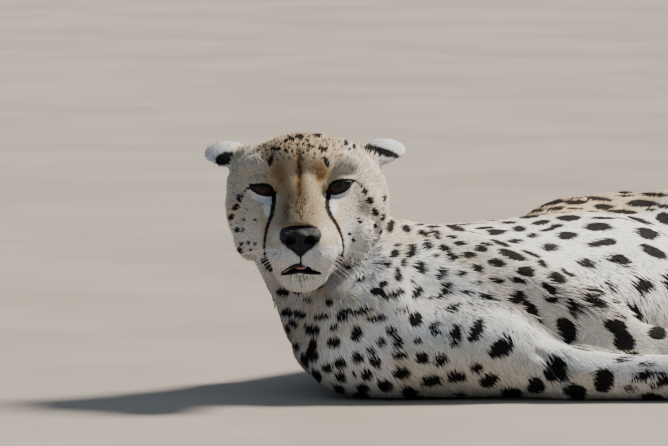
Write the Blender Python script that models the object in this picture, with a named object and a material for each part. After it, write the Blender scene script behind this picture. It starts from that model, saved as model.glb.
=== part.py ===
"""A cheetah lying on its right side with its head raised, life size, in metres.

The body is modelled whole, from muscle-shaped volumes placed along the skeleton, and then parted into
named pieces with thin cuts. X runs to the animal's front feet, Y to its rump and Z up. Points are first
placed from the shoulder's corner of the floor, and the finished animal is centred over the origin.
"""

import math

import bmesh
import bpy
import numpy as np
from mathutils import Matrix, Vector

# ---------------------------------------------------------------- driving dimensions
CUT = 0.0003                # thickness of the thin cuts between two pieces
BODY_VOXEL = 0.006          # grid on which the trunk and limbs are fused
HEAD_VOXEL = 0.0028         # grid on which the head is fused
SET_IN_GAP = 0.0004         # gap round the eyes, ears, nose and tongue
FUSED_VOXEL = 0.0042        # grid on which head and body become one
BODY_TRIANGLES = 2950       # faces kept on the whole animal before it is parted
FACE_LIGHTENING = 0.97      # how readily faces on the head are given up, against 1 on the body
FACE_MIDDLE = (0.0, 0.0, -0.02)
FACE_RADIUS = 0.105         # reach of the face round its middle
PAW_DIP = 0.0075            # how far a foot is pressed into the floor before its flat is cut
WELD = 0.000002             # points closer than this are one point
SLEEVE = 0.0040             # how much wider a parting sleeve is than its limb

EYE_MIDDLE = Vector((-0.031, 0.000, 0.198))
HEAD_YAW = math.radians(1.0)
HEAD_ROLL = math.radians(1.5)
HEAD_PITCH = math.radians(0.0)

EYE_RADIUS = 0.0158
EYE_SPREAD = 0.0345         # eye centre to the middle of the face
EYE_SET_BACK = 0.0148       # eye centre behind the plane of the eyes' fronts
NOSE_WIDTH = 0.037
NOSE_HEIGHT = 0.027
NOSE_REACH = 0.0745         # nose tip ahead of the eyes
NOSE_DROP = 0.0425          # nose middle below the eyes
MOUTH_WIDTH = 0.036
MOUTH_DROP = 0.0725         # mouth gap below the eyes
MOUTH_GAPE = 0.0085
EAR_LENGTH = 0.049
EAR_WIDTH = 0.046
EAR_THICKNESS = 0.008
FOREPAW = (0.098, 0.0320, 0.0235)      # length, half width and half thickness of a fore foot
HINDPAW = (0.092, 0.0290, 0.0215)      # the same of a hind foot

TRUNK_HEAD_WARD = Vector((-0.54, -0.84, 0.0)).normalized()
TRUNK_BELLY_WARD = Vector((0.84, -0.54, 0.0)).normalized()
UP = Vector((0.0, 0.0, 1.0))

# Stations of the trunk: x, y, height of the middle, half depth back to belly, half height as it lies
TRUNK = (
    (0.030, 0.036, 0.078, 0.060, 0.056),
    (0.046, 0.070, 0.077, 0.098, 0.074),
    (0.088, 0.132, 0.0755, 0.132, 0.0785),
    (0.146, 0.225, 0.0730, 0.140, 0.0765),
    (0.197, 0.305, 0.0728, 0.136, 0.0765),
    (0.240, 0.378, 0.0725, 0.120, 0.0760),
    (0.268, 0.458, 0.0680, 0.094, 0.0715),
    (0.303, 0.528, 0.0680, 0.088, 0.0715),
    (0.355, 0.588, 0.0745, 0.106, 0.0780),
    (0.402, 0.643, 0.0740, 0.090, 0.0770),
    (0.434, 0.686, 0.0720, 0.052, 0.0540),
)
# Stations of the neck: x, y, z, half width across, half depth
NECK = (
    (-0.027, 0.050, 0.172, 0.058, 0.056),
    (-0.022, 0.082, 0.154, 0.062, 0.064),
    (-0.006, 0.108, 0.128, 0.062, 0.070),
    (0.016, 0.118, 0.102, 0.073, 0.078),
    (0.028, 0.119, 0.081, 0.087, 0.082),
    (0.066, 0.142, 0.078, 0.090, 0.081),
)
# Stations of each limb: x, y, z, half width on the floor plane, half height
FORELEG_RIGHT = (
    (0.014, 0.030, 0.043, 0.052, 0.044),
    (0.055, 0.026, 0.042, 0.055, 0.045),
    (0.105, 0.026, 0.045, 0.051, 0.0475),
    (0.150, 0.022, 0.042, 0.044, 0.0435),
    (0.186, 0.018, 0.030, 0.034, 0.0320),
    (0.214, 0.013, 0.0245, 0.028, 0.0265),
    (0.260, 0.010, 0.0215, 0.028, 0.0240),
    (0.330, 0.010, 0.0215, 0.027, 0.0235),
    (0.400, 0.013, 0.0197, 0.023, 0.022),
    (0.450, 0.012, 0.0212, 0.0225, 0.0225),
    (0.492, 0.006, 0.0232, 0.0225, 0.024),
)
FORELEG_LEFT = (
    (0.022, 0.130, 0.104, 0.064, 0.046),
    (0.062, 0.112, 0.110, 0.068, 0.046),
    (0.110, 0.094, 0.106, 0.062, 0.049),
    (0.160, 0.081, 0.092, 0.052, 0.046),
    (0.205, 0.073, 0.079, 0.042, 0.041),
    (0.250, 0.070, 0.058, 0.033, 0.034),
    (0.284, 0.072, 0.040, 0.029, 0.029),
    (0.340, 0.081, 0.0308, 0.027, 0.0275),
    (0.420, 0.095, 0.0203, 0.024, 0.023),
    (0.470, 0.100, 0.0208, 0.0225, 0.0225),
    (0.512, 0.099, 0.0228, 0.0225, 0.024),
)
HINDLEG_RIGHT = (
    (0.352, 0.560, 0.058, 0.078, 0.058),
    (0.392, 0.495, 0.055, 0.083, 0.055),
    (0.425, 0.428, 0.050, 0.070, 0.050),
    (0.452, 0.365, 0.043, 0.053, 0.044),
    (0.484, 0.335, 0.037, 0.042, 0.038),
    (0.545, 0.327, 0.034, 0.040, 0.034),
    (0.615, 0.320, 0.028, 0.031, 0.028),
    (0.675, 0.313, 0.0218, 0.026, 0.0245),
    (0.708, 0.298, 0.0203, 0.025, 0.0225),
    (0.745, 0.246, 0.0193, 0.0205, 0.0215),
    (0.782, 0.190, 0.0198, 0.0205, 0.022),
    (0.806, 0.152, 0.0228, 0.022, 0.024),
)
HINDLEG_LEFT = (
    (0.356, 0.578, 0.098, 0.078, 0.054),
    (0.412, 0.530, 0.100, 0.080, 0.050),
    (0.466, 0.485, 0.095, 0.066, 0.046),
    (0.520, 0.447, 0.082, 0.052, 0.042),
    (0.556, 0.440, 0.070, 0.043, 0.038),
    (0.618, 0.452, 0.050, 0.040, 0.034),
    (0.690, 0.468, 0.033, 0.032, 0.029),
    (0.745, 0.478, 0.0223, 0.026, 0.0245),
    (0.778, 0.468, 0.0203, 0.025, 0.0225),
    (0.822, 0.418, 0.0193, 0.0205, 0.0215),
    (0.868, 0.368, 0.0198, 0.0205, 0.022),
    (0.896, 0.334, 0.0228, 0.022, 0.024),
)
# The tail's route and half thickness
TAIL = (
    (0.425, 0.668, 0.074, 0.036),
    (0.452, 0.715, 0.056, 0.030),
    (0.478, 0.768, 0.034, 0.0245),
    (0.496, 0.830, 0.020, 0.0225),
    (0.497, 0.900, 0.019, 0.0215),
    (0.474, 0.968, 0.0185, 0.021),
    (0.430, 1.022, 0.0185, 0.021),
    (0.372, 1.058, 0.019, 0.0215),
    (0.306, 1.072, 0.0195, 0.022),
    (0.243, 1.064, 0.020, 0.0225),
    (0.192, 1.040, 0.0155, 0.018),
)

# How far along its stations each limb is parted, counted in stations
FORELEG_PARTS = (("upper", 1.0, 4.6), ("lower", 4.6, 8.8), ("foot", 8.8, 13.0))
HINDLEG_PARTS = (("upper", 0.8, 4.2), ("lower", 4.2, 7.7), ("foot", 7.7, 14.0))
TAIL_PARTS = (("base", 1.2, 4.0), ("middle", 4.0, 7.0), ("tip", 7.0, 12.0))

FOOT_SLEEVE = 0.039         # half width of the sleeve round a foot
FOOT_REACH = 0.13           # how far that sleeve goes past the last station
# Cuts across the body: the piece on the side the normal points to, a point of the plane, the normal
TRUNK_CUTS = (
    ("head", (-0.024, 0.078, 0.150), (-0.19, -0.56, 0.81)),
    ("neck", (0.006, 0.104, 0.108), (-0.60, -0.25, 0.76)),
    ("trunk_chest", (0.225, 0.352, 0.075), TRUNK_HEAD_WARD),
    ("trunk_belly", (0.300, 0.500, 0.075), TRUNK_HEAD_WARD),
)


# ---------------------------------------------------------------- small geometry helpers
def head_axes():
    """Side (to the animal's left), forward and up unit vectors of the head."""
    turn = Matrix.Rotation(-HEAD_YAW, 3, "Z")
    side = turn @ Vector((1.0, 0.0, 0.0))
    forward = turn @ Vector((0.0, -1.0, 0.0))
    roll = Matrix.Rotation(HEAD_ROLL, 3, forward)
    side = roll @ side
    nod = Matrix.Rotation(HEAD_PITCH, 3, side)
    forward = nod @ forward
    return side.normalized(), forward.normalized(), forward.cross(side).normalized()


HEAD_SIDE, HEAD_FORWARD, HEAD_UP = head_axes()


def on_head(side, forward, up):
    """A point given from the middle of the eyes: to the left side, forward and up."""
    return EYE_MIDDLE + HEAD_SIDE * side + HEAD_FORWARD * forward + HEAD_UP * up


def smooth_stations(stations, steps):
    """Catmull-Rom points between the stations, with every number of a station blended alike."""
    rows = np.array(stations, dtype=float)
    padded = np.vstack((2 * rows[0] - rows[1], rows, 2 * rows[-1] - rows[-2]))
    result = []
    for index in range(1, len(padded) - 2):
        before, start, end, after = padded[index - 1:index + 3]
        for step in range(steps):
            t = step / steps
            result.append(0.5 * (2 * start + (end - before) * t
                                 + (2 * before - 5 * start + 4 * end - after) * t ** 2
                                 + (3 * start - before - 3 * end + after) * t ** 3))
    result.append(rows[-1])
    return result


def part_of_stations(stations, start, end):
    """The stations between two places counted in stations, with new ones at the two places."""
    rows = np.array(stations, dtype=float)
    last = len(rows) - 1

    def at(place):
        low = min(max(int(math.floor(place)), 0), last - 1)
        return rows[low] + (rows[low + 1] - rows[low]) * (place - low)

    inner = [rows[i] for i in range(last + 1) if start < i < end]
    return [at(start)] + inner + [at(end)]


def ring(bm, centre, across, along_up, half_across, half_up, sides, taper=0.0, square=1.0):
    """One closed ring of points; taper narrows its lower half and square below 1 fills its corners."""
    verts = []
    for index in range(sides):
        angle = 2 * math.pi * index / sides
        wide = math.copysign(abs(math.cos(angle)) ** square, math.cos(angle))
        high = math.copysign(abs(math.sin(angle)) ** square, math.sin(angle))
        wide *= 1.0 + taper * high
        verts.append(bm.verts.new(centre + across * wide * half_across + along_up * high * half_up))
    return verts


def bridge(bm, first, second):
    """Quads between two rings of the same count."""
    count = len(first)
    for index in range(count):
        after = (index + 1) % count
        bm.faces.new((first[index], first[after], second[after], second[index]))


def loft(bm, stations, up=UP, sides=20, steps=3, grow=0.0, round_ends=True, square=1.0):
    """A closed limb through stations of x, y, z and two half sizes, with rounded or flat ends."""
    rows = smooth_stations(stations, steps)
    centres = [Vector(row[:3]) for row in rows]
    halves = [(row[3] + grow, row[-1] + grow) for row in rows]
    frames = []
    for index, centre in enumerate(centres):
        ahead = centres[min(index + 1, len(centres) - 1)]
        behind = centres[max(index - 1, 0)]
        along = (ahead - behind).normalized()
        across = along.cross(up).normalized()
        frames.append((along, across, across.cross(along).normalized()))
    rings = []
    if round_ends:
        rings += end_rings(bm, centres[0], frames[0], halves[0], -1.0, sides, square)
    for centre, frame, half in zip(centres, frames, halves):
        rings.append(ring(bm, centre, frame[1], frame[2], half[0], half[1], sides, square=square))
    if round_ends:
        rings += end_rings(bm, centres[-1], frames[-1], halves[-1], 1.0, sides, square)[::-1]
    for first, second in zip(rings, rings[1:]):
        bridge(bm, first, second)
    bm.faces.new(rings[0][::-1])
    bm.faces.new(rings[-1])
    return bm


def end_rings(bm, centre, frame, half, way, sides, square):
    """Rings of a domed end, outermost first."""
    along, across, upward = frame
    reach = min(half)
    rings = []
    for share in (0.97, 0.85, 0.55):
        shrink = math.sqrt(1.0 - share ** 2)
        place = centre + along * way * reach * share
        rings.append(ring(bm, place, across, upward, half[0] * shrink, half[1] * shrink, sides, square=square))
    return rings


def ellipsoid(bm, centre, radii, axes=None, segments=24):
    """An ellipsoid with its three radii along the given axes."""
    side, forward, up = axes or (Vector((1, 0, 0)), Vector((0, 1, 0)), UP)
    turn = Matrix((side, forward, up)).transposed().to_4x4()
    matrix = Matrix.Translation(centre) @ turn @ Matrix.Diagonal((*radii, 1.0))
    bmesh.ops.create_uvsphere(bm, u_segments=segments, v_segments=segments // 2, radius=1.0, matrix=matrix)


def finish_mesh(bm, name):
    """Recalculate the normals outwards and turn the bmesh into a mesh."""
    bmesh.ops.recalc_face_normals(bm, faces=bm.faces)
    mesh = bpy.data.meshes.new(name)
    bm.to_mesh(mesh)
    bm.free()
    return mesh


def new_object(name, mesh):
    """Link a mesh into the scene as an object."""
    made = bpy.data.objects.new(name, mesh)
    bpy.context.scene.collection.objects.link(made)
    return made


def evaluated_mesh(source):
    """The mesh of an object with its modifiers applied."""
    bpy.context.view_layer.update()
    depsgraph = bpy.context.evaluated_depsgraph_get()
    return bpy.data.meshes.new_from_object(source.evaluated_get(depsgraph))


def discard(source):
    """Remove a helper object with its mesh."""
    mesh = source.data
    bpy.data.objects.remove(source)
    bpy.data.meshes.remove(mesh)


def fuse(name, meshes, voxel, rounds):
    """Fuse overlapping closed meshes into one smooth closed mesh."""
    bm = bmesh.new()
    for mesh in meshes:
        bm.from_mesh(mesh)
    helper = new_object(name, finish_mesh(bm, name))
    remesh = helper.modifiers.new("fuse", "REMESH")
    remesh.mode = "VOXEL"
    remesh.voxel_size = voxel
    smooth = helper.modifiers.new("soften", "SMOOTH")
    smooth.factor = 0.5
    smooth.iterations = rounds
    fused = evaluated_mesh(helper)
    discard(helper)
    return fused


def boolean(mesh, cutter, operation):
    """Apply one Boolean between two closed meshes, exact unless the exact solver finds nothing."""
    body = new_object("body_helper", mesh.copy())
    tool = new_object("tool_helper", cutter.copy())
    tool.hide_render = True
    tool.display_type = "WIRE"
    cut = body.modifiers.new("cut", "BOOLEAN")
    cut.operation = operation
    cut.object = tool
    result = evaluated_mesh(body)
    if not result.polygons:
        cut.solver = "MANIFOLD"
        result = evaluated_mesh(body)
    discard(body)
    discard(tool)
    return result


def largest_body(mesh):
    """Keep only the largest connected body of a mesh, with its flat faces split into triangles."""
    bm = bmesh.new()
    bm.from_mesh(mesh)
    bmesh.ops.remove_doubles(bm, verts=bm.verts, dist=WELD)
    bmesh.ops.dissolve_degenerate(bm, edges=bm.edges, dist=WELD)
    bmesh.ops.triangulate(bm, faces=bm.faces)
    seen = set()
    groups = []
    for start in bm.faces:
        if start in seen:
            continue
        group = [start]
        front = [start]
        seen.add(start)
        while front:
            neighbours = {other for edge in front.pop().edges for other in edge.link_faces} - seen
            seen |= neighbours
            group.extend(neighbours)
            front.extend(neighbours)
        groups.append(group)
    groups.sort(key=len)
    for group in groups[:-1]:
        bmesh.ops.delete(bm, geom=group, context="FACES")
    bm.to_mesh(mesh)
    bm.free()
    return mesh


def box_mesh(name, low, high):
    """A closed box between two corners."""
    bm = bmesh.new()
    size = [b - a for a, b in zip(low, high)]
    middle = [(a + b) / 2 for a, b in zip(low, high)]
    matrix = Matrix.Translation(middle) @ Matrix.Diagonal((*size, 1.0))
    bmesh.ops.create_cube(bm, size=1.0, matrix=matrix)
    return finish_mesh(bm, name)


# ---------------------------------------------------------------- materials
def make_material(name, colour, roughness):
    """A plain Principled material."""
    material = bpy.data.materials.new(name)
    material.use_nodes = True
    shader = material.node_tree.nodes["Principled BSDF"]
    shader.inputs["Base Color"].default_value = (*colour, 1.0)
    shader.inputs["Roughness"].default_value = roughness
    shader.inputs["Metallic"].default_value = 0.0
    return material


COLOURS = {
    "coat": ((0.62, 0.50, 0.34), 0.85),
    "coat_pale": ((0.80, 0.76, 0.68), 0.88),
    "eye": ((0.16, 0.06, 0.02), 0.08),
    "nose": ((0.02, 0.018, 0.02), 0.45),
    "tongue": ((0.55, 0.22, 0.22), 0.5),
}


# ---------------------------------------------------------------- head
def head_volumes():
    """The skull, cheeks, brows, muzzle and chin, as closed meshes."""
    axes = (HEAD_SIDE, HEAD_FORWARD, HEAD_UP)
    bm = bmesh.new()
    # forward, middle height, half width, half height, narrowing of the lower half
    sections = (
        (-0.121, 0.002, 0.022, 0.020, 0.00),
        (-0.112, 0.000, 0.043, 0.036, 0.00),
        (-0.090, -0.008, 0.059, 0.050, 0.04),
        (-0.066, -0.013, 0.068, 0.0595, 0.08),
        (-0.044, -0.016, 0.0735, 0.0635, 0.12),
        (-0.028, -0.019, 0.0710, 0.0625, 0.14),
        (-0.014, -0.0255, 0.0640, 0.0590, 0.12),
        (-0.002, -0.0345, 0.0530, 0.0530, 0.04),
        (0.012, -0.0425, 0.0430, 0.0475, 0.00),
        (0.028, -0.0490, 0.0360, 0.0420, 0.04),
        (0.046, -0.0535, 0.0330, 0.0350, 0.02),
        (0.060, -0.0550, 0.0285, 0.0285, 0.00),
        (0.069, -0.0550, 0.0190, 0.0190, 0.00),
    )
    rings = []
    for row in smooth_stations(sections, 3):
        forward, height, half_wide, half_high, taper = row
        rings.append(ring(bm, on_head(0.0, forward, height), HEAD_SIDE, HEAD_UP,
                          half_wide, half_high, 28, taper=taper))
    for first, second in zip(rings, rings[1:]):
        bridge(bm, first, second)
    bm.faces.new(rings[0])
    bm.faces.new(rings[-1][::-1])
    # place (side, forward, up) and radii of the paired masses
    pairs = (
        ((0.0340, -0.0130, 0.0195), (0.0210, 0.0150, 0.0120)),  # brow above the eye
        ((0.0560, -0.0320, -0.0160), (0.0180, 0.0270, 0.0220)),  # cheekbone
        ((0.0470, -0.0220, -0.0420), (0.0190, 0.0260, 0.0270)),  # cheek
        ((0.0620, -0.0540, -0.0180), (0.0160, 0.0300, 0.0360)),  # side whiskers of the cheek
        ((0.0470, -0.0720, 0.0180), (0.0220, 0.0280, 0.0190)),  # root of the ear
        ((0.0170, 0.0520, -0.0575), (0.0175, 0.0190, 0.0130)),  # whisker pad
        ((0.0235, 0.0350, -0.0520), (0.0155, 0.0200, 0.0160)),  # back of the whisker pad
    )
    for (side, forward, up), radii in pairs:
        for way in (-1.0, 1.0):
            ellipsoid(bm, on_head(side * way, forward, up), radii, axes)
    # forward, up, half width and half thickness down the nose bridge
    bridge_rows = (
        (-0.020, 0.0240, 0.0230, 0.0120),
        (0.006, 0.0045, 0.0165, 0.0120),
        (0.030, -0.0140, 0.0155, 0.0120),
        (0.052, -0.0285, 0.0165, 0.0110),
        (0.062, -0.0360, 0.0165, 0.0095),
    )
    loft(bm, [(*on_head(0.0, forward, up), wide, thick) for forward, up, wide, thick in bridge_rows],
         up=HEAD_UP, square=0.85)
    middles = (
        ((0.0, -0.0400, 0.0190), (0.0500, 0.0500, 0.0290)),   # crown
        ((0.0, -0.0200, 0.0150), (0.0300, 0.0250, 0.0250)),   # forehead
        ((0.0, 0.0625, -0.0440), (0.0150, 0.0095, 0.0140)),   # seat of the nose
        ((0.0, 0.0490, -0.0820), (0.0200, 0.0150, 0.0115)),   # chin
        ((0.0, 0.0220, -0.0800), (0.0250, 0.0320, 0.0140)),   # lower jaw
    )
    for (side, forward, up), radii in middles:
        ellipsoid(bm, on_head(side, forward, up), radii, axes)
    return finish_mesh(bm, "head_volumes")


def eye_hollows():
    """Shallow bowls that sink each eye behind its brow and cheek."""
    bm = bmesh.new()
    axes = (HEAD_SIDE, HEAD_FORWARD, HEAD_UP)
    for way in (-1.0, 1.0):
        centre = on_head(way * 0.0350, 0.0150, -0.0005)
        ellipsoid(bm, centre, (0.0145, 0.0165, 0.0090), axes)
    return finish_mesh(bm, "eye_hollows")


def eye_ball(way, grow=0.0):
    """One eyeball; way is 1 for the animal's left and -1 for its right."""
    bm = bmesh.new()
    radius = EYE_RADIUS + grow
    ellipsoid(bm, on_head(way * EYE_SPREAD, -EYE_SET_BACK, 0.0), (radius,) * 3,
              (HEAD_SIDE, HEAD_UP, HEAD_FORWARD), segments=14)
    return finish_mesh(bm, "eye")


def nose_leather(grow=0.0):
    """The bare nose: a wedge, wide on top and narrow below, with a rounded front."""
    bm = bmesh.new()
    rows = 6
    rings = []
    for row in range(rows):
        share = row / (rows - 1)
        height = -NOSE_DROP + NOSE_HEIGHT * (0.5 - share)
        half_wide = NOSE_WIDTH / 2 * (0.84 + 0.55 * share - 1.05 * share ** 2) + grow
        reach = NOSE_REACH - 0.0030 * (1 - share) ** 2 - 0.0045 * share ** 2 + grow
        depth = 0.0105 + grow
        height += grow * (1.0 if row == 0 else -1.0 if row == rows - 1 else 0.0)
        verts = []
        for index in range(16):
            angle = 2 * math.pi * index / 16
            wide = math.copysign(abs(math.cos(angle)) ** 0.8, math.cos(angle)) * half_wide
            deep = math.sin(angle) * depth
            verts.append(bm.verts.new(on_head(wide, reach - depth + deep, height)))
        rings.append(verts)
    for first, second in zip(rings, rings[1:]):
        bridge(bm, first, second)
    bm.faces.new(rings[0])
    bm.faces.new(rings[-1][::-1])
    return finish_mesh(bm, "nose")


def mouth_gap():
    """The gap between the parted lips, an arch over the tip of the tongue."""
    bm = bmesh.new()
    ellipsoid(bm, on_head(0.0, 0.052, -MOUTH_DROP), (MOUTH_WIDTH / 2, 0.024, MOUTH_GAPE / 2),
              (HEAD_SIDE, HEAD_FORWARD, HEAD_UP))
    return finish_mesh(bm, "mouth_gap")


def tongue_tip(grow=0.0):
    """The tip of the tongue, lying in the mouth's gap."""
    bm = bmesh.new()
    ellipsoid(bm, on_head(0.0, 0.048, -MOUTH_DROP - 0.0028), (0.0105 + grow, 0.0160 + grow, 0.0034 + grow),
              (HEAD_SIDE, HEAD_FORWARD, HEAD_UP), segments=12)
    return finish_mesh(bm, "tongue")


def ear(way, grow=0.0):
    """A low round ear turned outwards, cupped, with its back towards the front."""
    bm = bmesh.new()
    root = on_head(way * 0.050, -0.070, 0.018)
    tip = on_head(way * 0.091, -0.088, 0.0215)
    along = (tip - root).normalized()
    facing = (HEAD_FORWARD * 0.48 + HEAD_UP * 0.88).normalized()
    across = along.cross(facing).normalized()
    facing = across.cross(along).normalized()
    rings = []
    rows = 8
    for row in range(rows):
        share = row / (rows - 1)
        outline = math.sqrt(max(1.0 - (0.98 * share) ** 3.2, 0.0)) * (0.82 + 0.18 * math.sin(math.pi * share))
        half_wide = EAR_WIDTH / 2 * outline + grow
        half_thick = EAR_THICKNESS / 2 * (1.0 - 0.35 * share) * min(1.0, 0.35 + outline) + grow
        verts = []
        for index in range(12):
            angle = 2 * math.pi * index / 12
            wide = math.cos(angle) * half_wide
            cup = -9.0 * wide ** 2 + math.sin(angle) * half_thick + 0.010 * math.sin(math.pi * share * 0.8)
            verts.append(bm.verts.new(root + along * (EAR_LENGTH * share + (grow if row else -grow))
                                      + across * wide + facing * cup))
        rings.append(verts)
    for first, second in zip(rings, rings[1:]):
        bridge(bm, first, second)
    bm.faces.new(rings[0])
    bm.faces.new(rings[-1][::-1])
    return finish_mesh(bm, "ear")


# ---------------------------------------------------------------- body
def paw(bm, stations, length, half_wide, half_thick, tilt):
    """A foot at the end of a limb: palm, four toes and their blunt claws, tilted about its own length."""
    last = Vector(stations[-1][:3])
    forward = (last - Vector(stations[-2][:3])).normalized()
    forward.z = 0.0
    forward.normalize()
    level = forward.cross(UP).normalized()
    across = (UP * math.cos(tilt) - level * math.sin(tilt)).normalized()
    thick = forward.cross(across).normalized()
    height = half_wide * math.cos(tilt) + half_thick * math.sin(tilt) - PAW_DIP
    palm = Vector((last.x, last.y, height)) + forward * length * 0.22
    ellipsoid(bm, palm, (half_wide * 0.97, length * 0.42, half_thick), (across, forward, thick))
    for toe in range(4):
        shift = (toe - 1.5) / 1.5
        reach = length * (0.37 - 0.07 * shift ** 2)
        middle = palm + forward * reach + across * shift * half_wide * 0.70 - thick * 0.002
        ellipsoid(bm, middle, (half_wide * 0.33, length * 0.27, half_thick * 0.74),
                  (across, forward, thick), segments=16)
        claw = middle + forward * length * 0.25 + thick * half_thick * 0.12
        ellipsoid(bm, claw, (0.0034, 0.0090, 0.0046), (across, forward, thick), segments=12)


def body_volumes():
    """Trunk, neck, limbs and tail as overlapping closed shapes, in one mesh."""
    bm = bmesh.new()
    loft(bm, TRUNK, sides=32)
    loft(bm, NECK, sides=28)
    for stations in (FORELEG_RIGHT, FORELEG_LEFT, HINDLEG_RIGHT, HINDLEG_LEFT):
        loft(bm, stations)
    loft(bm, TAIL, sides=16)
    muscles(bm)
    return finish_mesh(bm, "body_volumes")


def paw_volumes():
    """The four feet, each tilted as it lies on its right edge."""
    bm = bmesh.new()
    paw(bm, FORELEG_RIGHT, *FOREPAW, math.radians(40))
    paw(bm, FORELEG_LEFT, *FOREPAW, math.radians(48))
    paw(bm, HINDLEG_RIGHT, *HINDPAW, math.radians(38))
    paw(bm, HINDLEG_LEFT, *HINDPAW, math.radians(46))
    return finish_mesh(bm, "paw_volumes")


def muscles(bm):
    """The masses that break the plain tubes: shoulder blades, brisket, haunches, elbows and hocks."""
    trunk = (TRUNK_BELLY_WARD, TRUNK_HEAD_WARD, UP)
    ellipsoid(bm, Vector((0.040, 0.138, 0.095)), (0.086, 0.062, 0.060), trunk)     # left shoulder blade
    ellipsoid(bm, Vector((0.000, 0.164, 0.080)), (0.055, 0.055, 0.066), trunk)     # withers
    ellipsoid(bm, Vector((0.110, 0.084, 0.083)), (0.068, 0.050, 0.050), trunk)     # brisket
    ellipsoid(bm, Vector((0.338, 0.588, 0.100)), (0.078, 0.070, 0.0555), trunk)     # left haunch
    ellipsoid(bm, Vector((0.300, 0.592, 0.076)), (0.050, 0.075, 0.070), trunk)     # croup
    ellipsoid(bm, Vector((0.238, 0.505, 0.088)), (0.048, 0.125, 0.068), trunk)     # loin
    ellipsoid(bm, Vector((0.204, 0.013, 0.026)), (0.024, 0.026, 0.028))            # right elbow
    ellipsoid(bm, Vector((0.238, 0.066, 0.058)), (0.027, 0.028, 0.030))            # left elbow


# ---------------------------------------------------------------- whole animal and its parts
def whole_animal():
    """The fused, lightened animal without its ears, eyes and nose, standing on cut flats."""
    body = fuse("body", [body_volumes()], BODY_VOXEL, 9)
    head = fuse("head", [head_volumes()], HEAD_VOXEL, 5)
    head = boolean(head, eye_hollows(), "DIFFERENCE")
    head = fuse("head", [head], HEAD_VOXEL, 4)
    paws = fuse("paws", [paw_volumes()], HEAD_VOXEL, 2)
    whole = fuse("whole", [body, head, paws], FUSED_VOXEL, 2)
    helper = new_object("lighten", whole)
    group = helper.vertex_groups.new(name="lighten")
    for vert in whole.vertices:
        on_face = (vert.co - on_head(*FACE_MIDDLE)).length < FACE_RADIUS
        group.add([vert.index], FACE_LIGHTENING if on_face else 1.0, "REPLACE")
    lighten = helper.modifiers.new("lighten", "DECIMATE")
    lighten.ratio = BODY_TRIANGLES / (2 * len(whole.polygons))
    lighten.vertex_group = "lighten"
    lighten.vertex_group_factor = 1.0
    light = evaluated_mesh(helper)
    discard(helper)
    floor = box_mesh("floor", (-1.0, -1.0, -0.2), (2.0, 2.0, 0.0))
    return largest_body(boolean(light, floor, "DIFFERENCE"))


def sleeve(stations, start, end, grow):
    """A flat-ended tube around part of a limb, used to part it; with no end it takes the tip in."""
    last = len(stations) - 1
    rows = [list(row) for row in part_of_stations(stations, start, last if end is None else end)]
    first = Vector(rows[0][:3])
    rows[0][:3] = first + (first - Vector(rows[1][:3])).normalized() * (grow - SLEEVE)
    if end is None:
        tip = Vector(rows[-1][:3])
        beyond = tip + (tip - Vector(rows[-2][:3])).normalized() * END_REACH
        rows = [[*row[:3], END_SLEEVE, END_SLEEVE] for row in rows + [list(beyond)]]
    bm = bmesh.new()
    loft(bm, rows, sides=12, steps=1, grow=grow, round_ends=False)
    return finish_mesh(bm, "sleeve")


def half_space(point, normal, grow):
    """A very large box whose one face lies on the plane, moved back against its normal by grow."""
    size = 3.0
    turn = normal.normalized().to_track_quat("Z", "Y").to_matrix().to_4x4()
    centre = point + normal.normalized() * (size / 2 - grow)
    bm = bmesh.new()
    bmesh.ops.create_cube(bm, size=size, matrix=Matrix.Translation(centre) @ turn)
    return finish_mesh(bm, "half_space")


def part_off(rest, cutter, wider_cutter):
    """Split a body in two: what lies in the cutter, and what lies outside the slightly wider cutter."""
    piece = largest_body(boolean(rest, cutter, "INTERSECT"))
    return piece, largest_body(boolean(rest, wider_cutter, "DIFFERENCE"))


def part_limb(rest, prefix, stations, parts):
    """Part one limb or the tail into its lengths, from its end inwards."""
    pieces = {}
    for part_name, start, end in reversed(parts):
        cutters = [sleeve(stations, start, end, SLEEVE + extra) for extra in (0.0, CUT)]
        pieces[prefix + part_name], rest = part_off(rest, *cutters)
    return pieces, rest


def set_in(rest, shapes):
    """Hollow the body for each shape set into it, leaving the thin cut round it."""
    for shape in shapes:
        rest = largest_body(boolean(rest, shape(SET_IN_GAP), "DIFFERENCE"))
    return rest


def dress(name, mesh, kind):
    """Make one finished sub-part with its own material."""
    colour, roughness = COLOURS[kind]
    mesh.materials.clear()
    mesh.materials.append(make_material(name + "_finish", colour, roughness))
    mesh.shade_smooth()
    return new_object(name, mesh)


def centre_over_origin(objects):
    """Move every piece alike, so that the animal's box stands centred on the origin."""
    corners = np.array([vert.co for item in objects for vert in item.data.vertices])
    low, high = corners.min(axis=0), corners.max(axis=0)
    shift = Vector((-(low[0] + high[0]) / 2, -(low[1] + high[1]) / 2, -low[2]))
    for item in objects:
        item.data.transform(Matrix.Translation(shift))
        item.data.update()
    return shift


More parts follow.
